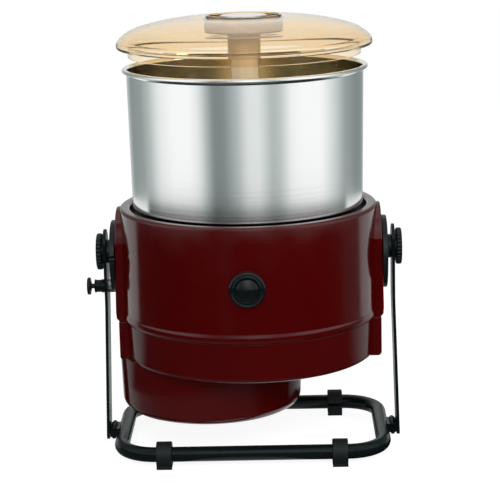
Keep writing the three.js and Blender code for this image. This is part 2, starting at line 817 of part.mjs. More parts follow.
function bearing(bottom) {
  const inner = sleeveRadius + fitGap;
  const top = bottom + bearingWidth;
  return revolve([[inner, bottom], [bearingRadius, bottom], [bearingRadius, top], [inner, top]],
    smallSides);
}

// Bridge under the belt that holds the foot of the fixed spindle.
function spindleBridge() {
  const top = chassisBottom - fitGap;
  const legInner = bridgeHalfSpan - bracketThickness;
  const edge = [[-bridgeHalfSpan, bridgeBottom], [bridgeHalfSpan, bridgeBottom], [bridgeHalfSpan, top],
    [legInner, top], [legInner, bridgeBottom + bracketThickness],
    [-legInner, bridgeBottom + bracketThickness], [-legInner, top], [-bridgeHalfSpan, top]];
  const strap = towardRight(prism(edge, -bridgeWidth / 2, bridgeWidth / 2));
  return cut(strap, rod(spindleRadius + fitGap, bridgeBottom - overrun, bridgeBottom + overrun));
}

// Cutter for the flat that keys the holder to the spindle.
function keyFlat(radius, flat, from, to) {
  return prism(rectangle(-radius - overrun, -radius - overrun, radius + overrun, -radius + flat),
    from, to);
}

function spindle() {
  const bottom = bridgeBottom - spindleNutHeight - spindleTail;
  const shaft = rod(spindleRadius, bottom, spindleTop);
  return cut(shaft, keyFlat(spindleRadius, spindleFlat, spindleTop - spindleKeyLength,
    spindleTop + overrun));
}

function spindleNut() {
  const top = bridgeBottom - fitGap;
  return cut(rod(spindleNutRadius, top - spindleNutHeight, top, 6),
    rod(spindleRadius + fitGap, top - spindleNutHeight - overrun, top + overrun));
}

// Belt drive

function driveSleeve() {
  const flangeBottom = driveFlangeTop - driveFlangeThickness;
  const spigotTop = driveFlangeTop + driveSpigotHeight;
  return revolve([[sleeveBore, sleeveBottom], [sleeveRadius, sleeveBottom],
    [sleeveRadius, flangeBottom], [driveFlangeRadius, flangeBottom],
    [driveFlangeRadius, driveFlangeTop], [sleeveRadius, driveFlangeTop],
    [sleeveRadius, spigotTop], [sleeveBore, spigotTop]], midSides);
}

// Section of a grooved pulley for the flat belt.
function pulley(bore, groove, flange, sides) {
  const half = beltWidth / 2 + fitGap;
  const edge = half + pulleyFlangeWidth;
  const outer = groove + flange;
  const level = (offset) => beltPlane + offset;
  return revolve([[bore, level(-edge)], [outer, level(-edge)], [outer, level(-half)],
    [groove, level(-half)], [groove, level(half)], [outer, level(half)],
    [outer, level(edge)], [bore, level(edge)]], sides);
}

// Outline of a belt run at one distance from both pulley grooves.
function beltOutline(distance) {
  const big = pulleyGrooveRadius + distance;
  const small = pinionGrooveRadius + distance;
  const lean = Math.asin((big - small) / motorOffset);
  const points = [];
  for (let i = 0; i <= midSides; i += 1) {
    const angle = -Math.PI / 2 - lean + (i / midSides) * (Math.PI + 2 * lean);
    points.push([big * Math.cos(angle), big * Math.sin(angle)]);
  }
  for (let i = 0; i <= beltTurnSteps; i += 1) {
    const angle = Math.PI / 2 + lean + (i / beltTurnSteps) * (Math.PI - 2 * lean);
    points.push([small * Math.cos(angle) - motorOffset, small * Math.sin(angle)]);
  }
  return points;
}

function driveBelt() {
  const [bottom, top] = [beltPlane - beltWidth / 2, beltPlane + beltWidth / 2];
  return cut(prism(beltOutline(runGap + beltThickness), bottom, top),
    prism(beltOutline(runGap), bottom - overrun, top + overrun));
}

function motor() {
  const shoulder = motorRadius - motorShoulder;
  const bore = motorShaftRadius + fitGap;
  const boreBottom = motorTop - motorShaftDepth;
  const can = revolve([[0, motorBottom], [shoulder, motorBottom],
    [motorRadius, motorBottom + motorShoulder], [motorRadius, motorTop - motorShoulder],
    [shoulder, motorTop], [motorBossRadius, motorTop], [motorBossRadius, motorTop + motorBossHeight],
    [bore, motorTop + motorBossHeight], [bore, boreBottom], [0, boreBottom]], smallSides);
  return can.translate(-motorOffset, 0, 0);
}

function motorPlate() {
  const bottom = motorTop + fitGap;
  const outline = rectangle(-motorPlateWidth / 2, -motorPlateHalfLength, motorPlateWidth / 2,
    motorPlateHalfLength, motorPlateWidth / 5);
  const plate = prism(outline, bottom, bottom + motorPlateThickness);
  const hole = rod(motorBossRadius + fitGap, bottom - overrun, bottom + overrun);
  return cut(plate, hole).translate(-motorOffset, 0, 0);
}

function motorSpacer() {
  const bottom = motorTop + motorPlateThickness + 2 * fitGap;
  return rod(motorSpacerRadius, bottom, chassisBottom - fitGap, tinySides);
}

function motorShaft() {
  return rod(motorShaftRadius, motorTop - motorShaftDepth + fitGap, beltPlane + beltWidth, tinySides);
}

// Push switch

// Radius of the upper shell's drafted wall at a height.
function shellRadiusAt(height) {
  const share = (shellTop - height) / (shellTop - shellBottom - shellHemHeight);
  return shellRadius + shellFlare * share;
}

function switchBezel() {
  const face = shellRadius + bezelProud;
  const back = face - bezelBarrelLength;
  const bore = buttonRadius + fitGap;
  const ring = towardFront(revolve([[bore, back], [bezelBarrelRadius, back],
    [bezelBarrelRadius, shellRadius - shellWall], [bezelRadius, shellRadius - shellWall],
    [bezelRadius, face, bezelRound], [bore, face, bezelRound / 2]], midSides));
  const barrel = towardFront(rod(bezelBarrelRadius, back, shellRadius, midSides));
  const shellSide = revolve([[0, shellBottom], [shellRadiusAt(shellBottom) + fitGap, shellBottom],
    [shellRadiusAt(shellTop) + fitGap, shellTop], [0, shellTop]]);
  const around = cut(shellSide, barrel.translate(0, 0, switchHeight));
  return cut(ring.translate(0, 0, switchHeight), around);
}

function switchButton() {
  const top = shellRadius + bezelProud + buttonProud;
  const crown = top - buttonDome;
  return towardFront(revolve([[0, top - buttonLength], [buttonRadius, top - buttonLength],
    [buttonRadius, crown, buttonDome / 3], [buttonRadius / 2, top - buttonDome / 4], [0, top]],
  midSides)).translate(0, 0, switchHeight);
}

function switchBody() {
  const front = shellRadius + bezelProud - bezelBarrelLength - fitGap;
  const half = switchBodyWidth / 2;
  const block = prism(rectangle(-half, -half, half, half, half / 6), front - switchBodyDepth, front);
  return towardFront(block).translate(0, 0, switchHeight);
}

function cupRadiusAt(height) {
  return cupRadius - (cupDraft * (lowerBottom + shellWall - height)) / (lowerBottom - cupBottom);
}

function cordGland() {
  const wallOuter = cupRadiusAt(glandHeight + glandFlangeRadius) + fitGap;
  const lowInside = cupRadiusAt(glandHeight - glandFlangeRadius) - shellWall;
  const wallInner = Math.sqrt(lowInside ** 2 - glandFlangeRadius ** 2) - runGap;
  const gland = revolve([[glandBoreRadius, wallInner - glandFlangeThickness],
    [glandFlangeRadius, wallInner - glandFlangeThickness], [glandFlangeRadius, wallInner],
    [glandNeckRadius, wallInner], [glandNeckRadius, wallOuter], [glandFlangeRadius, wallOuter],
    [glandFlangeRadius, wallOuter + glandFlangeThickness],
    [glandNeckRadius, wallOuter + glandFlangeThickness], [glandNeckRadius, wallOuter + glandNose],
    [glandBoreRadius, wallOuter + glandNose]], tinySides);
  return gland.rotateX(-Math.PI / 2).translate(-cupOffset, 0, glandHeight);
}

// Drum

// Pressed drum: centre chimney, floor, round corner, tapering wall and a rolled bead at the rim.
function drumShell() {
  const floor = drumBottom + drumSheet;
  const inner = drumWallRadius - drumSheet;
  const beadCentre = drumWallRadius + drumBeadRadius - drumSheet;
  const bead = [];
  for (let i = 0; i <= beadSteps; i += 1) {
    const angle = Math.PI * (1 - (beadTurnShare * i) / beadSteps);
    bead.push([beadCentre + drumBeadRadius * Math.cos(angle),
      drumRimHeight + drumBeadRadius * Math.sin(angle)]);
  }
  const rimFoot = drumRimHeight - 2 * drumBeadRadius;
  return revolve([[chimneyTopRadius - drumSheet, chimneyTop], [chimneyTopRadius, chimneyTop],
    [chimneyBaseRadius, floor + chimneyBaseHeight], [chimneyBaseRadius + chimneyBaseHeight / 2, floor],
    [inner - drumTaper, floor, drumCornerRadius - drumSheet], [inner, rimFoot], ...bead,
    [drumWallRadius, rimFoot], [drumWallRadius - drumTaper, drumBottom, drumCornerRadius],
    [chimneyBaseRadius, drumBottom],
    [chimneyBaseRadius - drumSheet, floor + chimneyBaseHeight]]);
}

// Base stone that falls away outwards, so that it meets the rollers along a line.
function baseStone() {
  const rimRise = stoneCrownHeight - stoneSlope * (stoneRadius - stoneBoreRadius);
  const top = stoneBottom + stoneCrownHeight;
  return revolve([[stoneBoreRadius, stoneBottom], [stoneRadius, stoneBottom],
    [stoneRadius, stoneBottom + rimRise, stoneRound], [stoneBoreRadius, top]], discSides, 1);
}

// Roller holder

function holderPost() {
  const bore = spindleRadius + fitGap;
  const web = spindleTop + fitGap;
  const stemBore = capStemRadius + seamGap;
  const stemFloor = postTop - capStemLength - fitGap;
  const hubBore = hubRadius - hubWall;
  const throat = chimneyTop + chimneyGap;
  const body = revolve([[0, web], [bore, web], [bore, throat],
    [chimneyTopRadius + chimneyGap, throat], [hubBore, hubTop], [hubBore, hubBottom],
    [hubRadius, hubBottom], [hubRadius, hubTop],
    [postNeckRadius, bellTop], [postNeckRadius, postShoulder],
    [postRadius, postShoulder + (postRadius - postNeckRadius) / 2], [postRadius, postTop],
    [stemBore, postTop], [stemBore, stemFloor], [0, stemFloor]], midSides);
  const key = prism(rectangle(-bore, -bore - fitGap, bore, -bore + spindleFlat),
    postShoulder - spindleFlat, web + spindleFlat);
  const holes = [-1, 1].map((side) => onSide(side,
    towardRight(rod(axleRadius + fitGap, hubBore - overrun, hubRadius + overrun, tinySides)))
    .translate(0, 0, axleHeight));
  return cut(join(body, key), ...holes);
}

function lidCollar() {
  const bore = postRadius + fitGap;
  return revolve([[bore, collarBottom], [collarRadius, collarBottom, collarWall / 2],
    [collarRadius, collarTop, collarWall / 3], [collarRadius - collarWall, collarTop],
    [collarRadius - collarWall, collarBottom + collarFloor], [bore, collarBottom + collarFloor]],
  discSides, 1);
}

function holderCap() {
  const bottom = postTop + fitGap;
  const top = bottom + capThickness;
  return revolve([[0, bottom - capStemLength], [capStemRadius, bottom - capStemLength],
    [capStemRadius, bottom], [capRadius, bottom, capRound], [capRadius, top, capRound], [0, top]],
  discSides, 1);
}

function axle(side) {
  const from = hubRadius - hubWall + fitGap;
  const head = rollerOuterEnd + 2 * fitGap;
  const pin = revolve([[0, from], [axleRadius, from], [axleRadius, head], [axleHeadRadius, head],
    [axleHeadRadius, head + axleHeadLength, axleHeadLength / 3], [0, head + axleHeadLength]],
  smallSides, 1);
  return onSide(side, towardRight(pin));
}

// Roller and bush lie along X with their big end outward, at the height of the axle.
function roller(side) {
  const bore = axleRadius + bushWall + 2 * fitGap;
  const stone = revolve([[bore, rollerInnerEnd], [rollerInnerRadius, rollerInnerEnd, rollerRound],
    [rollerOuterRadius, rollerOuterEnd, rollerRound], [bore, rollerOuterEnd]], midSides, 1);
  return onSide(side, towardRight(stone));
}

function rollerBush(side) {
  const inner = axleRadius + fitGap;
  const outer = inner + bushWall;
  const bush = revolve([[inner, hubRadius + fitGap], [bushFlangeRadius, hubRadius + fitGap],
    [bushFlangeRadius, rollerInnerEnd - fitGap], [outer, rollerInnerEnd - fitGap],
    [outer, rollerOuterEnd + fitGap], [inner, rollerOuterEnd + fitGap]], smallSides);
  return onSide(side, towardRight(bush));
}

// Lid

// Points of the dome from its shoulder up to the crown, or back down along its underside.
function domePoints(drop) {
  const rise = lidCrownHeight - lidShoulderHeight;
  const run = lidShoulderRadius - lidNeckRadius;
  return domeRadiusShares.map((share, i) =>
    [lidNeckRadius + run * share, lidShoulderHeight + rise * domeRiseShares[i] - drop]);
}

function lid() {
  const rimTop = lidRimBottom + lidRimHeight;
  const under = domePoints(lidWall);
  const over = domePoints(0).reverse();
  const skirtInner = skirtRadius - skirtWall;
  const rimInner = lidRimRadius - lidRimWidth;
  const skirtTop = (lidShoulderHeight + rimTop) / 2;
  return revolve([[lidHoleRadius, lidNeckBottom], [lidNeckRadius, lidNeckBottom],
    [lidNeckRadius, lidCrownHeight - lidWall], ...under,
    [skirtInner, skirtTop], [skirtInner, skirtBottom],
    [skirtRadius, skirtBottom], [skirtRadius, skirtTop - lidWall], [rimInner, rimTop - lidWall],
    [rimInner, lidRimBottom], [lidRimRadius, lidRimBottom, lidRimRound],
    [lidRimRadius, rimTop, lidRimRound], [lidShoulderRadius, lidShoulderHeight], ...over,
    [lidHoleRadius + lidLipWidth, lidCrownHeight], [lidHoleRadius + lidLipWidth, lidLipTop],
    [lidHoleRadius, lidLipTop]], wideSides, 1);
}

// Knobs

// Ribbed clamp knob with a crowned grip and a blind bore for the bolt.
function clampKnob(side) {
  const points = [];
  const count = knobRibs * knobRibPoints;
  const waist = knobRadius - knobCrown - knobRibDepth / 2;
  for (let i = 0; i < count; i += 1) {
    const angle = (i / count) * 2 * Math.PI;
    const radius = waist + (knobRibDepth / 2) * Math.cos(knobRibs * angle);
    points.push(new THREE.Vector2(radius * Math.cos(angle), radius * Math.sin(angle)));
  }
  const grip = new THREE.ExtrudeGeometry(new THREE.Shape(points), {
    depth: knobDepth - 2 * knobCrown,
    bevelThickness: knobCrown,
    bevelSize: knobCrown,
    bevelSegments: 1,
  }).translate(0, 0, knobInner + knobCollarDepth + knobCrown);
  const collar = rod(knobCollarRadius, knobInner, knobInner + knobCollarDepth + knobCrown, midSides);
  const bore = rod(boltHoleRadius, knobInner - overrun,
    knobInner + knobCollarDepth + knobBoreDepth, tinySides);
  const knob = cut(join(grip, collar), bore);
  return onSide(side, towardRight(knob));
}

// Assembly
const stand = new THREE.Group();
const body = new THREE.Group();
const drum = new THREE.Group();
const holder = new THREE.Group();
const model = new THREE.Group();
model.add(stand, body, drum, holder);
model.position.set(centreX, centreY, 0);

add(stand, 'stand_frame', join(loopHalf(-1), loopHalf(1), weld(-1), weld(1)), blackEnamel());
for (const [end, towardY] of [['front', -1], ['back', 1]]) {
  for (const [hand, side] of [['left', -1], ['right', 1]]) {
    add(stand, `foot_${end}_${hand}`, foot(towardY), blackRubber(),
      [side * footSpread, towardY * standHalfDepth, tubeHeight]);
  }
}
add(stand, 'upright_left', upright(-1), blackEnamel());
add(stand, 'upright_right', upright(1), blackEnamel());
add(stand, 'plunger_barrel', plungerBarrel(), zincSteel(), [0, 0, plungerHeight]);
add(stand, 'plunger_nut', plungerNut(), zincSteel(), [0, 0, plungerHeight]);
add(stand, 'lock_plunger', lockPlunger(), blackPlastic(), [0, 0, plungerHeight]);

add(body, 'upper_shell', upperShell(), maroonGloss());
add(body, 'lower_shell', lowerShell(), maroonGloss());
add(body, 'splash_deck', splashDeck(), blackPlastic());
add(body, 'chassis_plate', chassisPlate(), zincSteel());
add(body, 'bearing_housing', bearingHousing(), castAluminium());
add(body, 'bearing_lower', bearing(chassisTop + housingFlangeHeight), zincSteel());
add(body, 'bearing_upper', bearing(housingTop - bearingWidth), zincSteel());
add(body, 'spindle_bridge', spindleBridge(), zincSteel());
add(body, 'fixed_spindle', spindle(), stainless());
add(body, 'spindle_nut', spindleNut(), zincSteel());
for (const [hand, side] of [['left', -1], ['right', 1]]) {
  add(body, `index_disc_${hand}`, indexDisc(side), blackPlastic());
  add(body, `pivot_washer_${hand}`, pivotWasher(side), nylon());
  add(body, `pivot_bolt_${hand}`, pivotBolt(side), zincSteel());
  add(body, `side_bracket_${hand}`, sideBracket(side), zincSteel());
  add(body, `clamp_knob_${hand}`, clampKnob(side), blackPlastic(), [0, 0, pivotHeight]);
}
add(body, 'motor', motor(), motorEnamel());
add(body, 'motor_plate', motorPlate(), zincSteel());
add(body, 'motor_spacer_front', motorSpacer(), zincSteel(), [-motorOffset, -motorSpacerSpread, 0]);
add(body, 'motor_spacer_back', motorSpacer(), zincSteel(), [-motorOffset, motorSpacerSpread, 0]);
add(body, 'motor_shaft', motorShaft(), stainless(), [-motorOffset, 0, 0]);
add(body, 'motor_pinion', pulley(motorShaftRadius + fitGap, pinionGrooveRadius, pinionFlange, smallSides),
  castAluminium(), [-motorOffset, 0, 0]);
add(body, 'drive_belt', driveBelt(), blackRubber());
add(body, 'switch_bezel', switchBezel(), blackPlastic());
add(body, 'switch_body', switchBody(), blackPlastic());
add(body, 'switch_button', switchButton(), blackPlastic());
add(body, 'cord_gland', cordGland(), blackRubber());

add(drum, 'drum_shell', drumShell(), stainless());
add(drum, 'base_stone', baseStone(), granite());
add(drum, 'drive_sleeve', driveSleeve(), stainless());
add(drum, 'drum_pulley', pulley(sleeveRadius + fitGap, pulleyGrooveRadius, pulleyFlange, midSides),
  castAluminium());

add(holder, 'holder_post', holderPost(), creamPlastic());
add(holder, 'lid_collar', lidCollar(), frostedPlastic());
add(holder, 'holder_cap', holderCap(), chromePlate());
for (const [hand, side] of [['left', -1], ['right', 1]]) {
  add(holder, `roller_axle_${hand}`, axle(side), stainless(), [0, 0, axleHeight]);
  add(holder, `roller_${hand}`, roller(side), granite(), [0, 0, axleHeight]);
  add(holder, `roller_bush_${hand}`, rollerBush(side), nylon(), [0, 0, axleHeight]);
}
add(holder, 'lid', lid(), amberPlastic());

export default model;
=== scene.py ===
# %% [markdown]
# # A tilting wet grinder
# The machine is a steel drum that turns in a two-part maroon body. The body tips forward between two
# flat bars on a tube stand. The CAD model comes first and fixes every size and every joint; this
# lesson adds the fine shapes and the finishes round it, one piece at a time.

# %% Load the frame
import math

import bmesh
import bpy
from mathutils import Matrix, Vector


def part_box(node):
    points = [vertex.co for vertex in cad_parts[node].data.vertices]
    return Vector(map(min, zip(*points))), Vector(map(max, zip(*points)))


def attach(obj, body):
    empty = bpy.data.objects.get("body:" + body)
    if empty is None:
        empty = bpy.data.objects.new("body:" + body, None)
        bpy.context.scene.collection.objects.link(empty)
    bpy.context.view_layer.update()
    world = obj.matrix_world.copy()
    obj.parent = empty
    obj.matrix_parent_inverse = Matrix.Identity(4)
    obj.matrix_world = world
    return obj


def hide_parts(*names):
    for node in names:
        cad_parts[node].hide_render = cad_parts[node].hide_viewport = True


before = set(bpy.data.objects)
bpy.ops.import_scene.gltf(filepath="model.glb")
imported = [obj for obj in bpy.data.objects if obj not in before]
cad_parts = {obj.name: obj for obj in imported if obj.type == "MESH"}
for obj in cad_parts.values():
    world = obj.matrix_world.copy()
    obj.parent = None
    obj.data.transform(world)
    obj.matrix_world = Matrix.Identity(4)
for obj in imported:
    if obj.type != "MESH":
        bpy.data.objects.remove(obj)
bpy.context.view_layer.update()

drum_low, drum_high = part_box("drum_shell")
axis_x, axis_y = (drum_low.x + drum_high.x) / 2, (drum_low.y + drum_high.y) / 2
scene = bpy.context.scene
scene.view_settings.view_transform = "Standard"

# %% [markdown]
# ## The camera
# The picture was taken from a little above, with a long lens. The camera is set by three angles:
# how far it turns to the left, how far it looks down, and a small roll. Its three axes are worked
# out from these angles. Its place is measured in metres from the foot of the drum's axis: a little to
# the right, well in front and above.

# %% Place the camera
turn, down, roll = math.radians(1.1), math.radians(12.41), math.radians(-1.37)
ahead = Vector((-math.sin(turn) * math.cos(down), math.cos(turn) * math.cos(down), -math.sin(down)))
level_right = Vector((math.cos(turn), math.sin(turn), 0))
level_up = level_right.cross(ahead)
right = level_right * math.cos(roll) + level_up * math.sin(roll)
up = level_up * math.cos(roll) - level_right * math.sin(roll)
to_the_right, in_front, above = 0.0346, 1.7501, 0.5866
camera_data = bpy.data.cameras.new("camera")
camera_data.sensor_width = 36
camera_data.lens = 126.8
camera = bpy.data.objects.new("camera", camera_data)
scene.collection.objects.link(camera)
place = Matrix.Translation((axis_x + to_the_right, axis_y - in_front, above))
camera.matrix_world = place @ Matrix((right, up, -ahead)).transposed().to_4x4()
scene.camera = camera
print("the camera is", round(camera.matrix_world.translation.length, 2), "m from the origin")

# %% [markdown]
# ## Light all round
# Product light is soft and comes from everywhere. The world gives an even fill to matt surfaces, and
# pure white to the camera, to reflections and through clear plastic, so that metal and the lid show
# the same white as the background. The Light Path node tells these rays apart.

# %% The world
world = bpy.data.worlds.new("studio")
scene.world = world
world.use_nodes = True
sky = world.node_tree
sky.nodes.clear()


def seen_directly(tree):
    """Gives 1 for camera, reflection and transmission rays, and 0 for the light on matt surfaces."""
    path = tree.nodes.new("ShaderNodeLightPath")
    value = path.outputs["Is Camera Ray"]
    for other in ("Is Glossy Ray", "Is Transmission Ray"):
        both = tree.nodes.new("ShaderNodeMath")
        both.operation = "MAXIMUM"
        tree.links.new(value, both.inputs[0])
        tree.links.new(path.outputs[other], both.inputs[1])
        value = both.outputs[0]
    return value


fill = sky.nodes.new("ShaderNodeBackground")
fill.inputs["Strength"].default_value = 0.4
white = sky.nodes.new("ShaderNodeBackground")
white.inputs["Color"].default_value = (1, 1, 1, 1)
white.inputs["Strength"].default_value = 1.0
choice = sky.nodes.new("ShaderNodeMixShader")
sky_out = sky.nodes.new("ShaderNodeOutputWorld")
sky.links.new(seen_directly(sky), choice.inputs["Fac"])
sky.links.new(fill.outputs[0], choice.inputs[1])
sky.links.new(white.outputs[0], choice.inputs[2])
sky.links.new(choice.outputs[0], sky_out.inputs["Surface"])
print("world fill", fill.inputs["Strength"].default_value)

# %% [markdown]
# ## Two large lamps
# A big square lamp above and to the left shapes the body, and a weaker one on the right opens the
# shadows. They are large, so their shadows are soft. What the gloss reflects comes from the cards
# further on, so these two give no highlight of their own.

# %% The lamps
def soft_lamp(name, place, size, power, aim=(0, 0, 0.22)):
    """A square lamp at a place in metres, with its power in watts, that looks at the body's middle."""
    data = bpy.data.lights.new(name, "AREA")
    data.shape = "SQUARE"
    data.size = size
    data.energy = power
    data.specular_factor = 0
    lamp = bpy.data.objects.new(name, data)
    scene.collection.objects.link(lamp)
    lamp.location = place
    lamp.rotation_euler = (Vector(aim) - Vector(place)).to_track_quat("-Z", "Y").to_euler()


soft_lamp("key_lamp", (-0.1, -2.2, 1.5), 1.2, 34)
soft_lamp("side_lamp", (1.7, -0.8, 1.1), 1.0, 10)

# %% [markdown]
# ## The floor
# The grinder stands on plain white paper. A matt surface alone would print grey, so the camera and
# the reflections see it as part matt and part glowing: open paper comes out white, and the soft
# shadow under the machine is kept.

# %% The floor
floor_paint = bpy.data.materials.new("white_paper")
floor_paint.use_nodes = True
tree = floor_paint.node_tree
tree.nodes.clear()
paper = tree.nodes.new("ShaderNodeBsdfDiffuse")
paper.inputs["Color"].default_value = (0.8, 0.8, 0.8, 1)
shaded = tree.nodes.new("ShaderNodeBsdfDiffuse")
shaded.inputs["Color"].default_value = (0.32, 0.32, 0.32, 1)
glow = tree.nodes.new("ShaderNodeEmission")
glow.inputs["Strength"].default_value = 0.9
sum_of = tree.nodes.new("ShaderNodeAddShader")
either = tree.nodes.new("ShaderNodeMixShader")
floor_out = tree.nodes.new("ShaderNodeOutputMaterial")
tree.links.new(shaded.outputs[0], sum_of.inputs[0])
tree.links.new(glow.outputs[0], sum_of.inputs[1])
tree.links.new(seen_directly(tree), either.inputs["Fac"])
tree.links.new(paper.outputs[0], either.inputs[1])
tree.links.new(sum_of.outputs[0], either.inputs[2])
tree.links.new(either.outputs[0], floor_out.inputs["Surface"])

bm = bmesh.new()
bmesh.ops.create_grid(bm, x_segments=1, y_segments=1, size=12)
floor_mesh = bpy.data.meshes.new("floor")
bm.to_mesh(floor_mesh)
bm.free()
floor_mesh.materials.append(floor_paint)
floor = bpy.data.objects.new("floor", floor_mesh)
scene.collection.objects.link(floor)
print("floor", floor.dimensions.x, "m wide")

# %% [markdown]
# ## What the metal and the gloss reflect
# A steel drum is a mirror for the whole room, so a photographer places white and black cards round
# it. Here they are two upright rings and two flat ones. The upper ring gives the drum its light and
# dark bands. The lower ring is dark with a light at each side of the back, which draws the bright
# lines along the sides of the glossy body. The flat rings lie on the floor and keep the undersides
# dark. Only reflections see them.

# %% The rings of cards
def only(kind, geometry):
    """Picks the vertices or the edges from what a mesh operator gives back."""
    return [item for item in geometry if isinstance(item, kind)]


def card_ring(name, bottom, top, inner, outer, stops):
    """Cards round the object. Each stop is (degrees from the front, with the right positive, and
    brightness)."""
    paint = bpy.data.materials.new(name)
    paint.use_nodes = True
    tree = paint.node_tree
    tree.nodes.clear()
    where = tree.nodes.new("ShaderNodeTexCoord")
    mapping = tree.nodes.new("ShaderNodeMapping")
    mapping.inputs["Rotation"].default_value = (0, 0, math.radians(90))
    angle = tree.nodes.new("ShaderNodeTexGradient")
    angle.gradient_type = "RADIAL"
    bands = tree.nodes.new("ShaderNodeValToRGB")
    marks = sorted((degrees / 360 + 0.5, level) for degrees, level in stops)
    for position, level in marks[1:-1]:
        bands.color_ramp.elements.new(position)
    for element, (position, level) in zip(bands.color_ramp.elements, marks):
        cool = 0.12 * (1 - level)
        element.position = position
        element.color = (level * (1 - cool), level * (1 + cool / 2), level * (1 + cool / 3), 1)
    light = tree.nodes.new("ShaderNodeEmission")
    out = tree.nodes.new("ShaderNodeOutputMaterial")
    tree.links.new(where.outputs["Object"], mapping.inputs["Vector"])
    tree.links.new(mapping.outputs[0], angle.inputs["Vector"])
    tree.links.new(angle.outputs["Fac"], bands.inputs["Fac"])
    tree.links.new(bands.outputs["Color"], light.inputs["Color"])
    tree.links.new(light.outputs[0], out.inputs["Surface"])
    bm = bmesh.new()
    bmesh.ops.create_circle(bm, radius=outer, segments=96)
    grown = bmesh.ops.extrude_edge_only(bm, edges=bm.edges[:])
    edge = only(bmesh.types.BMVert, grown["geom"])
    bmesh.ops.scale(bm, verts=edge, vec=(inner / outer, inner / outer, 1))
    bmesh.ops.translate(bm, verts=bm.verts[:], vec=(0, 0, top))
    bmesh.ops.translate(bm, verts=edge, vec=(0, 0, bottom - top))
    mesh = bpy.data.meshes.new(name)
    bm.to_mesh(mesh)
    bm.free()
    mesh.materials.append(paint)
    ring = bpy.data.objects.new(name, mesh)
    scene.collection.objects.link(ring)
    for ray in ("camera", "diffuse", "transmission", "volume_scatter", "shadow"):
        setattr(ring, "visible_" + ray, False)


RING, MIDDLE, HOLE = 0.62, 0.3, 0.1
card_ring("upper_cards", 0.15, 1.5, RING, RING, [
    (-180, 0.9), (-160, 0.7), (-136, 0.28), (-112, 0.32), (-98, 0.5), (-84, 0.84), (-66, 1.0),
    (-50, 1.0), (-41, 0.85), (-34, 0.5), (-27, 0.23), (-18, 0.25), (-6, 0.48), (3, 0.78), (12, 0.82),
    (24, 0.48), (31, 0.55), (42, 0.93), (52, 1.0), (72, 1.0), (84, 0.75), (103, 0.36), (125, 0.25),
    (145, 0.28), (162, 0.7), (180, 0.9)])
card_ring("lower_cards", 0.0, 0.15, RING, RING, [
    (-180, 0.5), (-152, 0.3), (-146, 0.9), (-109, 0.9), (-105, 0.03), (-60, 0.0), (-26, 0.01),
    (-18, 0.04), (-10, 0.0), (60, 0.0), (80, 0.03), (84, 0.1), (104, 0.14), (109, 0.85), (146, 0.85),
    (152, 0.3), (180, 0.5)])
card_ring("outer_floor_cards", 0.001, 0.0015, MIDDLE, RING, [
    (-180, 0.5), (-140, 0.6), (-108, 0.4), (-98, 0.03), (0, 0.03), (90, 0.03), (108, 0.4), (140, 0.6),
    (180, 0.5)])
card_ring("inner_floor_cards", 0.001, 0.001, HOLE, MIDDLE, [
    (-180, 0.5), (-112, 0.5), (-96, 0.4), (-84, 0.22), (-60, 0.13), (0, 0.12), (36, 0.1), (52, 0.01),
    (96, 0.01), (116, 0.3), (180, 0.5)])

# %% [markdown]
# ## Finishes
# Every finish is a Principled shader with three small disturbances: a slow drift of its colour, a
# fine change of its roughness, and a bump. They read Object coordinates, in metres, so the grain has
# its real size and stays on the piece when the piece moves.

# %% A finish with grain
def finish_of(name, colour, rough, metal=0.0, grain=300.0, stretch=(1, 1, 1), spread=0.06, drift=0.12,
              drift_size=25.0, bump=0.1, height=0.0002, detail=3.0, **sockets):
    """A finish: grain and drift_size are noise scales a metre, spread is how far the roughness goes
    up and down, drift how far the colour does, and height the bump's depth in metres."""
    paint = bpy.data.materials.new(name)
    paint.use_nodes = True
    tree = paint.node_tree
    shader = tree.nodes["Principled BSDF"]
    shader.inputs["Metallic"].default_value = metal
    for socket, value in sockets.items():
        shader.inputs[socket.replace("_", " ")].default_value = value
    where = tree.nodes.new("ShaderNodeTexCoord")
    mapping = tree.nodes.new("ShaderNodeMapping")
    mapping.name = "grain_mapping"
    mapping.inputs["Scale"].default_value = stretch
    tree.links.new(where.outputs["Object"], mapping.inputs["Vector"])
    fine = tree.nodes.new("ShaderNodeTexNoise")
    fine.inputs["Scale"].default_value = grain
    fine.inputs["Detail"].default_value = detail
    tree.links.new(mapping.outputs[0], fine.inputs["Vector"])
    slow = tree.nodes.new("ShaderNodeTexNoise")
    slow.inputs["Scale"].default_value = drift_size
    slow.inputs["Detail"].default_value = 2.0
    tree.links.new(where.outputs["Object"], slow.inputs["Vector"])
    tone = tree.nodes.new("ShaderNodeMix")
    tone.name = "tone"
    tone.data_type = "RGBA"
    tone.inputs["A"].default_value = (*[c * (1 - drift) for c in colour], 1)
    tone.inputs["B"].default_value = (*[min(c * (1 + drift), 1) for c in colour], 1)
    tree.links.new(slow.outputs["Fac"], tone.inputs["Factor"])
    tree.links.new(tone.outputs["Result"], shader.inputs["Base Color"])
    sheen = tree.nodes.new("ShaderNodeMapRange")
    sheen.inputs["From Min"].default_value = 0.3
    sheen.inputs["From Max"].default_value = 0.7
    sheen.inputs["To Min"].default_value = max(rough - spread, 0.02)
    sheen.inputs["To Max"].default_value = rough + spread
    tree.links.new(fine.outputs["Fac"], sheen.inputs["Value"])
    tree.links.new(sheen.outputs[0], shader.inputs["Roughness"])
    relief = tree.nodes.new("ShaderNodeBump")
    relief.inputs["Strength"].default_value = bump
    relief.inputs["Distance"].default_value = height
    tree.links.new(fine.outputs["Fac"], relief.inputs["Height"])
    tree.links.new(relief.outputs[0], shader.inputs["Normal"])
    return paint


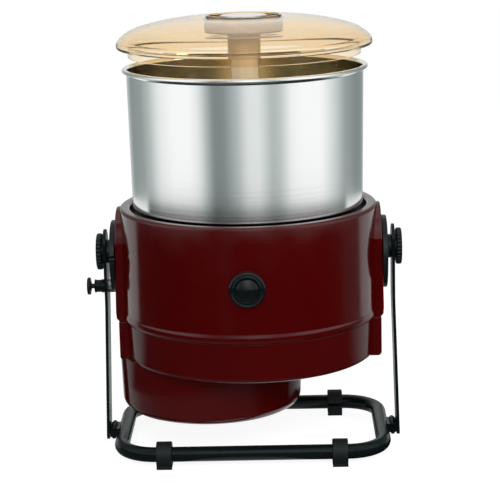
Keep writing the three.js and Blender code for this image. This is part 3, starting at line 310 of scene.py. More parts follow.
maroon = finish_of("maroon_gloss", (0.062, 0.0005, 0.0008), 0.12, grain=45, spread=0.03, drift=0.08,
                   bump=0.06, height=0.0006, Specular_IOR_Level=0.5)
enamel = finish_of("black_enamel", (0.004, 0.0075, 0.0085), 0.22, grain=260, spread=0.06, drift=0.2,
                   bump=0.1, height=0.0003, Specular_IOR_Level=0.16)
black_plastic = finish_of("black_plastic", (0.005, 0.0085, 0.0095), 0.34, grain=900, spread=0.06,
                          bump=0.15, height=0.0001, Specular_IOR_Level=0.22)
black_gloss = finish_of("black_gloss", (0.004, 0.007, 0.008), 0.16, grain=120, spread=0.04, bump=0.03,
                        Specular_IOR_Level=0.4)
rubber = finish_of("black_rubber", (0.008, 0.011, 0.012), 0.6, grain=1400, spread=0.08, bump=0.3,
                   height=0.0001, Specular_IOR_Level=0.2)
print("paints and plastics", len(bpy.data.materials))

# %% [markdown]
# ## The drum's steel
# The drum is brushed round its axis, so its grain is stretched sideways. Its inside has a painted
# shade and a painted amber tint of the light through the lid. The same finish does both: where the
# surface looks towards the drum's axis, the product of its normal and its place is negative.

# %% The drum's steel
drum_steel = finish_of("drum_steel", (0.93, 0.945, 0.935), 0.14, metal=1.0, grain=3.0,
                       stretch=(1, 1, 260), spread=0.02, drift=0.015, bump=0.01, height=0.0001)
tree = drum_steel.node_tree
where = tree.nodes.new("ShaderNodeTexCoord")
from_axis = tree.nodes.new("ShaderNodeMapping")
from_axis.inputs["Location"].default_value = (-axis_x, -axis_y, 0)
from_axis.inputs["Scale"].default_value = (1, 1, 0)
outward = tree.nodes.new("ShaderNodeVectorMath")
outward.operation = "DOT_PRODUCT"
is_inside = tree.nodes.new("ShaderNodeMath")
is_inside.operation = "LESS_THAN"
is_inside.inputs[1].default_value = -0.002
# Painted shade and a painted amber tint of the lid's light: the inside's colour is mixed to this
# darker, warmer tone.
painted_inside_light = tree.nodes.new("ShaderNodeMix")
painted_inside_light.data_type = "RGBA"
painted_inside_light.inputs["B"].default_value = (0.86, 0.79, 0.6, 1)
tree.links.new(where.outputs["Object"], from_axis.inputs["Vector"])
tree.links.new(from_axis.outputs[0], outward.inputs[0])
tree.links.new(where.outputs["Normal"], outward.inputs[1])
tree.links.new(outward.outputs["Value"], is_inside.inputs[0])
tree.links.new(is_inside.outputs[0], painted_inside_light.inputs["Factor"])
tree.links.new(tree.nodes["tone"].outputs["Result"], painted_inside_light.inputs["A"])
tree.links.new(painted_inside_light.outputs["Result"], tree.nodes["Principled BSDF"].inputs["Base Color"])
print("drum steel nodes", len(tree.nodes))

# %% [markdown]
# ## The other metals and plastics
# Turned steel has its grain round the piece, zinc is grey and uneven, the cap is nearly a mirror, and
# cast aluminium is rough. The post is cream plastic and the collar a milky one; both colours are
# painted lighter, as painted light in place of the lamp light that the lid's glass holds back.

# %% The other metals and plastics
steel = finish_of("turned_steel", (0.6, 0.6, 0.59), 0.25, metal=1.0, grain=6, stretch=(1, 1, 150),
                  spread=0.06, drift=0.05, bump=0.05)
zinc = finish_of("zinc_steel", (0.47, 0.48, 0.49), 0.42, metal=1.0, grain=180, spread=0.1, drift=0.15,
                 bump=0.1)
chrome = finish_of("chrome", (0.68, 0.68, 0.67), 0.08, metal=1.0, grain=60, spread=0.03, drift=0.03,
                   bump=0.02)
cast = finish_of("cast_aluminium", (0.42, 0.43, 0.43), 0.55, metal=1.0, grain=500, spread=0.08,
                 drift=0.12, bump=0.35, height=0.0003)
# The cream is painted lighter: painted light in place of the lamp light that the lid holds back.
cream = finish_of("cream_plastic", (0.86, 0.75, 0.6), 0.42, grain=400, spread=0.05, drift=0.05,
                  bump=0.05)
# The milky colour is painted lighter too: painted light in place of the lamp light that the lid holds
# back.
frosted = finish_of("frosted_plastic", (0.62, 0.57, 0.6), 0.45, grain=350, spread=0.05, drift=0.06,
                    bump=0.06)
nylon = finish_of("nylon", (0.72, 0.7, 0.62), 0.5, grain=500, spread=0.05, drift=0.05, bump=0.06)
motor_paint = finish_of("motor_enamel", (0.035, 0.045, 0.055), 0.48, metal=0.2, grain=350, spread=0.08,
                        drift=0.2, bump=0.15)
print("finishes", len(bpy.data.materials))

# %% [markdown]
# ## Granite
# The stones are dark speckled granite, dressed with a hammer. A cell pattern gives the pale and dark
# crystals, and a strong bump of fine noise gives the small pits.

# %% Granite
granite = finish_of("granite", (0.085, 0.09, 0.093), 0.7, grain=420, spread=0.1, drift=0.25,
                    drift_size=60, bump=0.55, height=0.0006, detail=6)
tree = granite.node_tree
shader = tree.nodes["Principled BSDF"]
cells = tree.nodes.new("ShaderNodeTexVoronoi")
cells.inputs["Scale"].default_value = 520
tree.links.new(tree.nodes["grain_mapping"].outputs[0], cells.inputs["Vector"])
speckle = tree.nodes.new("ShaderNodeValToRGB")
speckle.color_ramp.elements[0].position = 0.25
speckle.color_ramp.elements[0].color = (0.03, 0.032, 0.034, 1)
speckle.color_ramp.elements[1].position = 0.8
speckle.color_ramp.elements[1].color = (0.42, 0.42, 0.4, 1)
tree.links.new(cells.outputs["Color"], speckle.inputs["Fac"])
blend = tree.nodes.new("ShaderNodeMix")
blend.data_type = "RGBA"
blend.inputs["Factor"].default_value = 0.45
tree.links.new(tree.nodes["tone"].outputs["Result"], blend.inputs["A"])
tree.links.new(speckle.outputs["Color"], blend.inputs["B"])
tree.links.new(blend.outputs["Result"], shader.inputs["Base Color"])
print("granite nodes", len(tree.nodes))

# %% [markdown]
# ## Amber plastic
# The lid is clear amber plastic. Light that passes through it turns golden, and more so where it
# passes through several walls. The shader's transmission does this, with hardly any roughness and a
# slow ripple in the surface from moulding. Its refraction is weaker than a real plastic's, because
# a thin moulding in white light then keeps its rims bright.

# %% Amber plastic
amber = finish_of("amber_plastic", (0.93, 0.8, 0.61), 0.02, grain=14, spread=0.01, drift=0.03,
                  bump=0.02, height=0.001, Transmission_Weight=1.0, IOR=1.22)
print("amber is", amber.name)

# %% [markdown]
# ## Measures and making helpers
# Sizes are written in millimetres from the drum's own axis, as on a drawing, and one helper brings
# each finished mesh to metres and to its place.

# %% From the drawing to the row frame
MM = 0.001
PIVOT = 203.0


def section(bm, corners, start=None, end=None):
    """Joins corners (radius, height, cut) in a line, which closes or runs between two given points,
    and rounds each corner that has a cut."""
    verts = [bm.verts.new((corner[0], 0, corner[1])) for corner in corners]
    chain = [start] + verts + [end] if start else verts + verts[:1]
    for one, other in zip(chain, chain[1:]):
        bm.edges.new((one, other))
    for vert, corner in zip(verts, corners):
        if len(corner) > 2:
            bmesh.ops.bevel(bm, geom=[vert], offset=corner[2], offset_type="OFFSET", affect="VERTICES",
                            segments=4 if corner[2] < 2 else 8, profile=0.5, material=-1)


def spun(bm, sides):
    """Spins a section once round Z, closes its poles and turns its faces outward."""
    bmesh.ops.spin(bm, geom=bm.verts[:] + bm.edges[:], cent=(0, 0, 0), axis=(0, 0, 1),
                   angle=2 * math.pi, steps=sides, use_merge=True, use_duplicate=False)
    bmesh.ops.remove_doubles(bm, verts=bm.verts[:], dist=1e-4)
    bmesh.ops.dissolve_degenerate(bm, edges=bm.edges[:], dist=1e-4)
    axis_line = [edge for edge in bm.edges if not edge.link_faces]
    bmesh.ops.delete(bm, geom=axis_line, context="EDGES")
    bmesh.ops.recalc_face_normals(bm, faces=bm.faces[:])
    return bm


def turned(corners, sides=96):
    """A turned piece from the corners of its section."""
    bm = bmesh.new()
    section(bm, corners)
    return spun(bm, sides)


def rod(radius, bottom, top, sides=32):
    """A plain round rod, mostly to drill with."""
    return turned([(0, bottom), (radius, bottom), (radius, top), (0, top)], sides)


TO_RIGHT = Matrix(((0, 0, 1), (1, 0, 0), (0, 1, 0))).to_4x4()
TO_FRONT = Matrix(((1, 0, 0), (0, 0, -1), (0, 1, 0))).to_4x4()
TO_BACK = Matrix(((-1, 0, 0), (0, 0, 1), (0, 1, 0))).to_4x4()


def moved(bm, aim=None, by=(0, 0, 0), side=1):
    """Turns Z towards a side of the machine, moves the mesh, and mirrors it for the left side."""
    if aim is not None:
        bmesh.ops.transform(bm, matrix=aim, verts=bm.verts[:])
    bmesh.ops.translate(bm, vec=by, verts=bm.verts[:])
    if side < 0:
        bmesh.ops.scale(bm, vec=(-1, 1, 1), verts=bm.verts[:])
        bmesh.ops.reverse_faces(bm, faces=bm.faces[:])
    return bm


def across(bm, height=PIVOT, side=1):
    """Lays a turned piece along X at a height."""
    return moved(bm, TO_RIGHT, (0, 0, height), side)


def joined(base, other):
    """Adds the second mesh to the first as it is."""
    mesh = bpy.data.meshes.new("part")
    other.to_mesh(mesh)
    other.free()
    base.from_mesh(mesh)
    bpy.data.meshes.remove(mesh)
    return base


def carved(base, tool, operation="DIFFERENCE"):
    """Joins or cuts two closed meshes with the exact boolean and gives the result."""
    holders = []
    for bm in (base, tool):
        mesh = bpy.data.meshes.new("rough")
        bm.to_mesh(mesh)
        bm.free()
        holder = bpy.data.objects.new("rough", mesh)
        scene.collection.objects.link(holder)
        holders.append(holder)
    step = holders[0].modifiers.new("step", "BOOLEAN")
    step.object = holders[1]
    step.operation = operation
    step.solver = "EXACT"
    bpy.context.view_layer.update()
    result = bmesh.new()
    result.from_object(holders[0], bpy.context.evaluated_depsgraph_get())
    for holder in holders:
        data = holder.data
        bpy.data.objects.remove(holder)
        bpy.data.meshes.remove(data)
    return result


def finished(bm, name, body, paint, nodes=(), crease=35):
    """Brings a mesh to metres and its place, and makes it a piece of the machine. Faces that meet
    at more than the crease angle keep a sharp edge."""
    bmesh.ops.scale(bm, vec=(MM, MM, MM), verts=bm.verts[:])
    bmesh.ops.translate(bm, vec=(axis_x, axis_y, 0), verts=bm.verts[:])
    mesh = bpy.data.meshes.new(name)
    bm.to_mesh(mesh)
    bm.free()
    mesh.materials.append(paint)
    mesh.shade_smooth()
    mesh.set_sharp_from_angle(angle=math.radians(crease))
    piece = bpy.data.objects.new(name, mesh)
    scene.collection.objects.link(piece)
    shading = piece.modifiers.new("flat_faces_stay_flat", "WEIGHTED_NORMAL")
    shading.keep_sharp = True
    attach(piece, body)
    if nodes:
        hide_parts(*nodes)
    print(name, len(mesh.polygons), "faces")


print("drum axis at", round(axis_x, 5), round(axis_y, 5))

# %% [markdown]
# ## The drum
# The drum is pressed from sheet steel: a chimney in the middle, a flat floor, a low foot ring under
# its edge, a slightly tapering wall and a rolled bead at the rim. All of it is round, so one section
# is spun.

# %% The drum
drum = turned([
    (13.3, 343, 0.5), (14.5, 343, 0.5), (22, 262.2, 8), (30, 255.2, 6), (115, 255.2, 3.4),
    (116.8, 383.5), (116.8, 388.5, 2), (119.2, 390.9, 2), (122.7, 389, 1.8), (122, 386.6, 1.2),
    (119.4, 387, 0.8), (118, 384.6, 1), (116.1, 251, 1.4), (111, 251, 1.4), (110, 254, 1), (25, 254, 3),
    (20.8, 262.2, 8)], 160)
finished(drum, "drum", "drum", drum_steel, ["drum_shell"])

# %% [markdown]
# ## The base stone
# A thick ring of granite lies on the drum's floor. Its top falls away outwards, so that the conical
# rollers touch it along a line.

# %% The base stone
stone = turned([(28, 255.5, 0.6), (105, 255.5, 0.8), (105, 271.8, 3), (28, 283.5, 2)], 128)
finished(stone, "base_stone_dressed", "drum", granite, ["base_stone"])

# %% [markdown]
# ## The roller holder
# A cream plastic post stands on the fixed spindle. It swells to a hub that carries the two axles,
# and it holds a milky white collar for the lid and a polished cap.

# %% The post
post = turned([
    (0, 428.3), (6.3, 428.3), (6.3, 345), (16.5, 345, 2), (21, 331, 2), (21, 300, 1), (30, 300, 2),
    (30, 331, 6), (13.4, 354, 12), (13.4, 398.4, 1), (16.2, 401.2, 1.4), (16.2, 436.1, 1),
    (5.4, 436.1, 0.4), (5.4, 432.2), (0, 432.2)], 72)
finished(post, "post", "roller_holder", cream, ["holder_post"])

# %% The collar and the cap
collar = turned([
    (16.5, 423.3, 0.6), (39, 423.3, 2), (39, 435.1, 0.8), (36.9, 435.1, 0.6), (36.9, 425.6, 1),
    (16.5, 425.6, 0.4)], 96)
finished(collar, "collar", "roller_holder", frosted, ["lid_collar"])
cap = turned([(0, 432.8), (5, 432.8, 0.3), (5, 436.4), (23.4, 436.4, 0.9), (23.4, 439.7, 1.2),
              (0, 439.7)], 96)
finished(cap, "cap", "roller_holder", chrome, ["holder_cap"])

# %% [markdown]
# ## Rollers, bushes and axles
# Two granite cones turn on nylon bushes round steel axles. Each is spun round Z and then laid along
# X, the left one as the mirror image of the right.

# %% The rollers
AXLE = 312.285
for hand, side in (("left", -1), ("right", 1)):
    cone = turned([(8.3, 38, 1), (30, 38, 4), (40, 104, 4), (8.3, 104, 1)], 96)
    finished(across(cone, AXLE, side), "cone_" + hand, hand + "_roller", granite,
             ["roller_" + hand])
    bush = turned([(5.3, 30.3, 0.3), (11, 30.3, 0.8), (11, 37.7, 0.8), (8, 37.7), (8, 104.3, 0.5),
                   (5.3, 104.3, 0.3)], 48)
    finished(across(bush, AXLE, side), "bush_" + hand, hand + "_roller", nylon,
             ["roller_bush_" + hand])
    pin = turned([(0, 21.3), (5, 21.3, 0.6), (5, 104.6), (8.5, 104.6, 0.6), (8.5, 109.6, 1.6),
                  (0, 109.6)], 48)
    finished(across(pin, AXLE, side), "axle_" + hand, "roller_holder", steel,
             ["roller_axle_" + hand])

# %% [markdown]
# ## The lid
# The lid is one moulding: a shallow dome, a rounded rim with a flat flange under it, a skirt that
# hangs from the flange inside the drum, and a neck that sits in the collar. A clear piece shows both
# of its faces, and a corner in the dome would show as a ring of bent light. So each face is a row of
# bows that run on into each other, and only the neck, the flange and the skirt are drawn with corners.

# %% Bows
def bow(bm, centre, radius, first, last, steps):
    """Part of a circle in XZ, from the first to the last angle in degrees; gives its two ends."""
    start = bm.verts.new((centre[0] + radius, 0, centre[1]))
    bmesh.ops.rotate(bm, verts=[start], cent=(centre[0], 0, centre[1]),
                     matrix=Matrix.Rotation(-math.radians(first), 3, "Y"))
    grown = bmesh.ops.spin(bm, geom=[start], cent=(centre[0], 0, centre[1]), axis=(0, -1, 0),
                           angle=math.radians(last - first), steps=steps, use_merge=False)
    return start, only(bmesh.types.BMVert, grown["geom_last"])[0]


sample = bmesh.new()
bow(sample, (0, 0), 10, 0, 90, 6)
print("a bow of six steps has", len(sample.verts), "points")
sample.free()

# %% The lid
CROWN, SHOULDER, EDGE = (44, 220.2), (96.05, 390.42), (117.62, 411.99)
cover = bmesh.new()
heel = bow(cover, (124.3, 411.99), 2.82, -90, 0, 6)
bow(cover, EDGE, 9.5, 0, 45, 8)
bow(cover, SHOULDER, 40, 45, 73, 12)
over = bow(cover, CROWN, 218, 73, 90, 26)
under = bow(cover, CROWN, 215.4, 73, 90, 26)
bow(cover, SHOULDER, 37.4, 45, 73, 12)
hollow = bow(cover, EDGE, 6.9, 20, 45, 5)
section(cover, [(37.6, 438.2, 0.6), (37.6, 439.8, 0.8), (35, 439.8, 0.8), (35, 425.9, 0.5),
                (36.3, 425.9, 0.5), (36.3, 435.6, 0.8)], over[1], under[1])
section(cover, [(124.4, 411.8, 1.2), (114, 411.8, 1), (114, 400.9, 0.6), (115.8, 400.9, 0.6),
                (115.8, 409.2, 0.8)], hollow[0], heel[0])
bmesh.ops.remove_doubles(cover, verts=cover.verts[:], dist=0.02)
finished(spun(cover, 192), "lid_dome", "cover", amber, ["lid"], crease=30)

# %% [markdown]
# ## The body's upper shell
# The upper shell is a drum of glossy maroon plastic with a rolled lip at the top, a slightly proud
# hem at the seam, and a flat land on each side where it hangs. The shell is spun. Each land starts as
# a flat arch that is extruded and bevelled; it is trimmed inside the wall, joined, and hollowed from
# within. Last come the bores for the pivot bolts and the switch.

# %% Flat outlines
def outline(corners):
    """A flat face in XY from corners (x, y, cut)."""
    bm = bmesh.new()
    section(bm, corners)
    bmesh.ops.rotate(bm, verts=bm.verts[:], cent=(0, 0, 0),
                     matrix=Matrix.Rotation(-math.pi / 2, 3, "X"))
    bmesh.ops.remove_doubles(bm, verts=bm.verts[:], dist=1e-3)
    bmesh.ops.contextual_create(bm, geom=bm.edges[:])
    return bm


def arch(half_width, bottom, centre, steps=48):
    """A flat face in XY with straight sides up to the centre and a half circle over it."""
    bm = bmesh.new()
    foot = [bm.verts.new((side * half_width, bottom, 0)) for side in (-1, 1)]
    bm.edges.new(foot)
    start = bm.verts.new((half_width, centre, 0))
    bm.edges.new((foot[1], start))
    bmesh.ops.spin(bm, geom=[start], cent=(0, centre, 0), axis=(0, 0, 1), angle=math.pi, steps=steps,
                   use_merge=False)
    bm.edges.new([v for v in bm.verts if len(v.link_edges) == 1])
    bmesh.ops.contextual_create(bm, geom=bm.edges[:])
    return bm


def thick(bm, depth):
    """Extrudes a flat face along Z into a closed block."""
    grown = bmesh.ops.extrude_face_region(bm, geom=bm.faces[:])
    bmesh.ops.translate(bm, vec=(0, 0, depth), verts=only(bmesh.types.BMVert, grown["geom"]))
    bmesh.ops.recalc_face_normals(bm, faces=bm.faces[:])
    return bm


def rim_softened(bm, direction, width, segments=4):
    """Bevels the rim between the faces that look in one direction and the sides."""
    bm.normal_update()
    look = Vector(direction)
    rim = []
    for edge in bm.edges:
        facing = [face.normal.dot(look) for face in edge.link_faces]
        if len(facing) == 2 and max(facing) > 0.8 and min(facing) < 0.5:
            rim.append(edge)
    bmesh.ops.bevel(bm, geom=rim, offset=width, offset_type="OFFSET", affect="EDGES",
                    segments=segments, profile=0.5, material=-1)
    return bm


sample = thick(outline([(0, 0), (1, 0), (1, 1), (0, 1)]), 1)
print("a square made thick has", len(sample.faces), "faces")
sample.free()

# %% A side land
LAND_HALF = 33.2
HEM = 137.4


def land(face, reach, bottom, top, heel):
    """An arched block laid on its side: its face leans in towards the top and turns in at the heel."""
    block = arch(LAND_HALF, bottom, top - LAND_HALF)
    block = moved(thick(block, face - reach), TO_RIGHT, (reach, 0, 0))
    for share in (0.35, 1):
        everything = block.verts[:] + block.edges[:] + block.faces[:]
        bmesh.ops.bisect_plane(block, geom=everything, plane_co=(0, 0, bottom + heel * share),
                               plane_no=(0, 0, 1))
    for vert in block.verts:
        if vert.co.x > face - 0.01:
            height = vert.co.z - bottom
            vert.co.x += 1 - 2 * max(height - heel, 0) / (top - bottom)
            if height < heel - 0.01:
                vert.co.x -= 3.6 if height < 0.01 else 0.5
    return rim_softened(block, (1, 0, 0), 1.6, 5)


sample = land(134, 120.5, HEM, 249.2, 9)
print("a land has", len(sample.faces), "faces")
sample.free()

# %% The upper shell
SWITCH = 191.5
BOLT = 4.3
shell = turned([
    (126.8, HEM, 0.4), (129.9, HEM, 0.8), (131.4, 140.2, 1.2), (131.4, 143.6, 1.2), (130.5, 146.6, 1.2),
    (129.8, 251, 3.2), (119, 251, 3.2), (119, 241, 0.6), (121.5, 241, 0.6), (121.5, 248), (126.8, 248)],
    160)
for side in (-1, 1):
    block = moved(land(134, 120.5, HEM, 249.2, 9), side=side)
    shell = carved(shell, carved(block, rod(127.6, 130, 248.8, 160)), "UNION")
    pocket = moved(thick(arch(30.2, 130, 216), 9.2), TO_RIGHT, (121.8, 0, 0), side)
    shell = carved(shell, pocket)
for aim, radius, reach, place in ((TO_RIGHT, BOLT, 300, (-150, 0, PIVOT)),
                                  (TO_FRONT, 15.3, 60, (0, -90, SWITCH))):
    shell = carved(shell, moved(rod(radius, 0, reach, 48), aim, place))
finished(shell, "upper_body", "housing", maroon, ["upper_shell"], crease=24)

# %% [markdown]
# ## The body's lower shell
# The lower shell is a shallow bowl with the same side lands, and a round motor cup that hangs from it
# to the left. Each shape is spun or extruded as a full block first; the blocks are joined, and then
# the space inside is cut out, which leaves one wall with clean corners. Slots in the cup's floor let
# the motor's warm air out. A dull black deck closes the body under the drum, and a rubber gland sits
# at the back of the cup.

# %% The lower shell
CUP = -41.5
GLAND = 72
bowl = turned([(0, 97), (127, 97, 5), (128.2, 137, 0.8), (0, 137)], 160)
cup = moved(turned([(0, 43.5), (91.3, 43.5, 10), (93, 100.6), (0, 100.6)], 144), by=(CUP, 0, 0))
lower = carved(bowl, cup, "UNION")
for side in (-1, 1):
    block = outline([(118, 97), (132.4, 97, 4), (132.4, 137, 1), (118, 137)])
    block = moved(thick(block, 2 * LAND_HALF), TO_FRONT, (0, LAND_HALF, 0), side)
    block = rim_softened(rim_softened(block, (0, 1, 0), 0.9), (0, -1, 0), 0.9)
    lower = carved(lower, block, "UNION")
space = turned([(0, 100), (124, 100, 4), (125.2, 140), (0, 140)], 144)
cup_space = moved(turned([(0, 46.5), (88.3, 46.5, 7), (90, 100.3), (0, 100.3)], 144), by=(CUP, 0, 0))
lower = carved(carved(lower, space), cup_space)
slots = bmesh.new()
for number in range(12):
    slot = thick(outline([(40, -2, 1.99), (70, -2, 1.99), (70, 2, 1.99), (40, 2, 1.99)]), 12)
    bmesh.ops.rotate(slot, verts=slot.verts[:], cent=(0, 0, 0),
                     matrix=Matrix.Rotation(math.radians(30 * number), 3, "Z"))
    slots = joined(slots, moved(slot, by=(CUP, 0, 38)))
lower = carved(lower, slots)
lower = carved(lower, moved(rod(6.3, 80, 100), TO_BACK, (CUP, 0, GLAND)))
finished(lower, "lower_body", "housing", maroon, ["lower_shell"], crease=24)

# %% The splash deck and the cord gland
deck = turned([(31, 237.7, 0.5), (126.2, 237.7), (126.2, 240.7, 0.5), (34, 240.7, 1.5),
               (34, 248.2, 0.8), (31, 248.2, 0.8)], 96)
finished(deck, "deck", "housing", rubber, ["splash_deck"])
gland = turned([(3.4, 85.4, 0.5), (9, 85.4, 0.5), (9, 87.8, 0.5), (6, 87.8), (6, 92.7), (9, 92.7, 0.4),
                (9, 95.1, 0.8), (6.2, 95.1, 0.6), (6.2, 96.6, 0.3), (5.2, 97), (5.2, 97.8),
                (6, 98.2, 0.3), (6, 99.4, 0.3), (5.6, 100.7, 0.6), (3.4, 100.7, 0.5)], 48)
finished(moved(gland, TO_BACK, (CUP, 0, GLAND)), "gland", "housing", rubber,
         ["cord_gland"])

# %% [markdown]
# ## The push switch
# A rounded ring is screwed to the wall, and a domed button sits in it with a thin gap. The ring's
# back has to follow the round wall, so a copy of the wall is cut from it.

# %% The switch
flange = turned([(14.9, 120), (17.6, 120), (17.6, 134.4, 2), (15.2, 134.4, 0.6), (14.4, 133.4, 0.5),
                 (13.6, 134.1, 0.5), (11.2, 134.1, 0.7), (11.2, 120)], 96)
wall = turned([(0, 130), (130.85, 130), (130.05, 255), (0, 255)], 160)
flange = carved(moved(flange, TO_FRONT, (0, 0, SWITCH)), wall)
barrel = turned([(11.2, 112.4), (15, 112.4), (15, 131.5), (11.2, 131.5)])
flange = carved(flange, moved(barrel, TO_FRONT, (0, 0, SWITCH)), "UNION")
finished(flange, "switch_ring", "housing", black_gloss, ["switch_bezel"], crease=30)
button = turned([(0, 118.6), (10.9, 118.6), (10.9, 135, 1), (5.5, 137, 3), (0, 137.6)], 96)
finished(moved(button, TO_FRONT, (0, 0, SWITCH)), "switch_dome", "button", black_gloss,
         ["switch_button"])

# %% [markdown]
# ## Index discs, washers and clamp knobs
# On each side a black disc tips with the body, a black nylon washer keeps it off the bar, and a
# ribbed knob clamps it. The left disc has three holes for the lock pin. The knob's outline is a
# circle pulled in at twenty-six valleys. It is extruded in steps that grow and shrink, which rounds
# its edges without a bevel on the tight valleys.

# %% The discs
PIN_CIRCLE = 36
DISC_DROP = 5
for hand, side in (("left", -1), ("right", 1)):
    disc = across(turned([
        (BOLT, 134.3, 0.4), (36.8, 134.3, 0.6), (36.8, 139.5, 1.2), (31.5, 139.5, 0.4),
        (30.5, 138.9, 0.4), (14, 138.9, 0.4), (13, 139.5, 0.4), (BOLT, 139.5)]))
    shifted = [v for v in disc.verts if math.hypot(v.co.y, v.co.z - PIVOT) > 12.5]
    bmesh.ops.translate(disc, vec=(0, 0, -DISC_DROP), verts=shifted)
    if side < 0:
        for angle in (0, math.radians(45), math.radians(90)):
            place = (0, -PIN_CIRCLE * math.sin(angle), PIVOT - PIN_CIRCLE * math.cos(angle))
            disc = carved(disc, moved(rod(2.8, 130, 150), TO_RIGHT, place))
    finished(moved(disc, side=side), "disc_" + hand, "housing", black_plastic,
             ["index_disc_" + hand])
    washer = turned([(BOLT, 139.8), (12, 139.8, 0.3), (12, 144.2, 0.3), (BOLT, 144.2)], 64)
    finished(across(washer, side=side), "washer_" + hand, "housing", black_plastic,
             ["pivot_washer_" + hand])


# %% The clamp knobs
RIBS = 26
KNOB_RADIUS = 18.6


def knob():
    """The ribbed grip along Z. Each step is (how far up, the size of the outline there)."""
    bm = bmesh.new()
    bmesh.ops.create_circle(bm, cap_ends=True, radius=KNOB_RADIUS, segments=10 * RIBS)
    for vert in bm.verts:
        valley = 1 - abs(math.cos(RIBS / 2 * math.atan2(vert.co.y, vert.co.x))) ** 0.5
        vert.co *= 1 - 0.06 * valley
    size = 0.92
    bmesh.ops.scale(bm, vec=(size, size, 1), verts=bm.verts[:])
    for height, wanted in ((0.35, 0.96), (1.0, 1), (3.2, 1), (0.8, 0.975), (0.5, 0.93), (0.1, 0.88),
                           (-0.7, 0.84), (-0.1, 0.8)):
        top = max(bm.faces, key=lambda face: face.calc_center_median().z)
        grown = bmesh.ops.extrude_discrete_faces(bm, faces=[top])["faces"]
        verts = grown[0].verts[:]
        bmesh.ops.translate(bm, vec=(0, 0, height), verts=verts)
        bmesh.ops.scale(bm, vec=(wanted / size, wanted / size, 1), verts=verts)
        size = wanted
    bmesh.ops.holes_fill(bm, edges=bm.edges[:], sides=0)
    bmesh.ops.recalc_face_normals(bm, faces=bm.faces[:])
    return bm


for hand, side in (("left", -1), ("right", 1)):
    grip = moved(knob(), TO_RIGHT, (148.8, 0, PIVOT))
    collar = turned([(BOLT, 147.8), (13, 147.8, 0.3), (13, 149.4), (BOLT, 149.4)], 64)
    centre = turned([(0, 153), (8.5, 153), (8.5, 154.5, 1), (0, 154.7)], 64)
    grip = carved(carved(grip, across(collar), "UNION"), across(centre), "UNION")
    grip = carved(grip, across(rod(BOLT, 147, 152.4)))
    finished(moved(grip, side=side), "knob_" + hand, "knob_" + hand, black_plastic,
             ["clamp_knob_" + hand], crease=30)

# %% [markdown]
# ## The uprights
# Each side bar is one flat strip of steel with a round head and a rounded foot. It leans outwards
# below a slow bend. A flat outline is cut across at the bend, made thick, softened along its edges
# and drilled, and then leaned.

# %% The bars
BAR_FACE, BAR_THICK = 144.5, 3
BEND_LOW, BEND_HIGH, LEAN = 144, 156, 4 / 144
for hand, side in (("left", -1), ("right", 1)):
    strip = outline([(-15, 6, 6), (15, 6, 6), (15, 226, 14.99), (-15, 226, 14.99)])
    for height in range(BEND_LOW, BEND_HIGH + 1, 3):
        bmesh.ops.bisect_plane(strip, geom=strip.verts[:] + strip.edges[:] + strip.faces[:],
                               plane_co=(0, height, 0), plane_no=(0, 1, 0))
    bar = moved(thick(strip, BAR_THICK), TO_RIGHT, (BAR_FACE, 0, 0))
    bar = rim_softened(rim_softened(bar, (1, 0, 0), 0.5, 3), (-1, 0, 0), 0.5, 3)
    for radius, height in [(BOLT, PIVOT)] + ([(5.3, PIVOT - PIN_CIRCLE)] if side < 0 else []):
        bar = carved(bar, across(rod(radius, 140, 152), height))
    for vert in bar.verts:
        drop = max((BEND_LOW + BEND_HIGH) / 2 - vert.co.z, 0)
        if BEND_LOW <= vert.co.z <= BEND_HIGH:
            drop = (BEND_HIGH - vert.co.z) ** 2 / 24
        vert.co.x += LEAN * drop
    finished(moved(bar, side=side), "bar_" + hand, "base_frame", enamel,
             ["upright_" + hand], crease=30)

# %% [markdown]
# ## The tube stand
# The stand is one tube bent into a loop. A circle is pushed along each straight and spun round each
# bend, in the order in which a bender would make it, until it meets its own start. Beads of weld join
# it to the bars.

# %% The loop
TUBE_RADIUS, TUBE_HEIGHT = 7.5, 13
BEND_X, BEND_Y, BEND_RADIUS = 95.5, 46, 37
loop = bmesh.new()
bmesh.ops.create_circle(loop, radius=TUBE_RADIUS, segments=32)
bmesh.ops.rotate(loop, verts=loop.verts[:], cent=(0, 0, 0),
                 matrix=Matrix.Rotation(math.pi / 2, 3, "X"))
bmesh.ops.translate(loop, vec=(BEND_X + BEND_RADIUS, 0, TUBE_HEIGHT), verts=loop.verts[:])
ring = loop.edges[:]


def pushed(ring, x, y):
    """Pushes the tube's open end straight on and gives the new end."""
    grown = bmesh.ops.extrude_edge_only(loop, edges=ring)["geom"]
    bmesh.ops.translate(loop, vec=(x, y, 0), verts=only(bmesh.types.BMVert, grown))
    return only(bmesh.types.BMEdge, grown)


def bent(ring, x, y):
    """Bends the tube's open end by a quarter turn round a centre and gives the new end."""
    grown = bmesh.ops.spin(loop, geom=ring, cent=(x, y, TUBE_HEIGHT), axis=(0, 0, 1),
                           angle=-math.pi / 2, steps=14, use_merge=False, use_duplicate=False)
    return only(bmesh.types.BMEdge, grown["geom_last"])


ring = bent(pushed(ring, 0, -BEND_Y), BEND_X, -BEND_Y)
ring = bent(pushed(ring, -2 * BEND_X, 0), -BEND_X, -BEND_Y)
ring = bent(pushed(ring, 0, 2 * BEND_Y), -BEND_X, BEND_Y)
ring = bent(pushed(ring, 2 * BEND_X, 0), BEND_X, BEND_Y)
pushed(ring, 0, -BEND_Y)
bmesh.ops.remove_doubles(loop, verts=loop.verts[:], dist=1e-2)
bmesh.ops.recalc_face_normals(loop, faces=loop.faces[:])
print("tube loop", len(loop.faces), "faces")


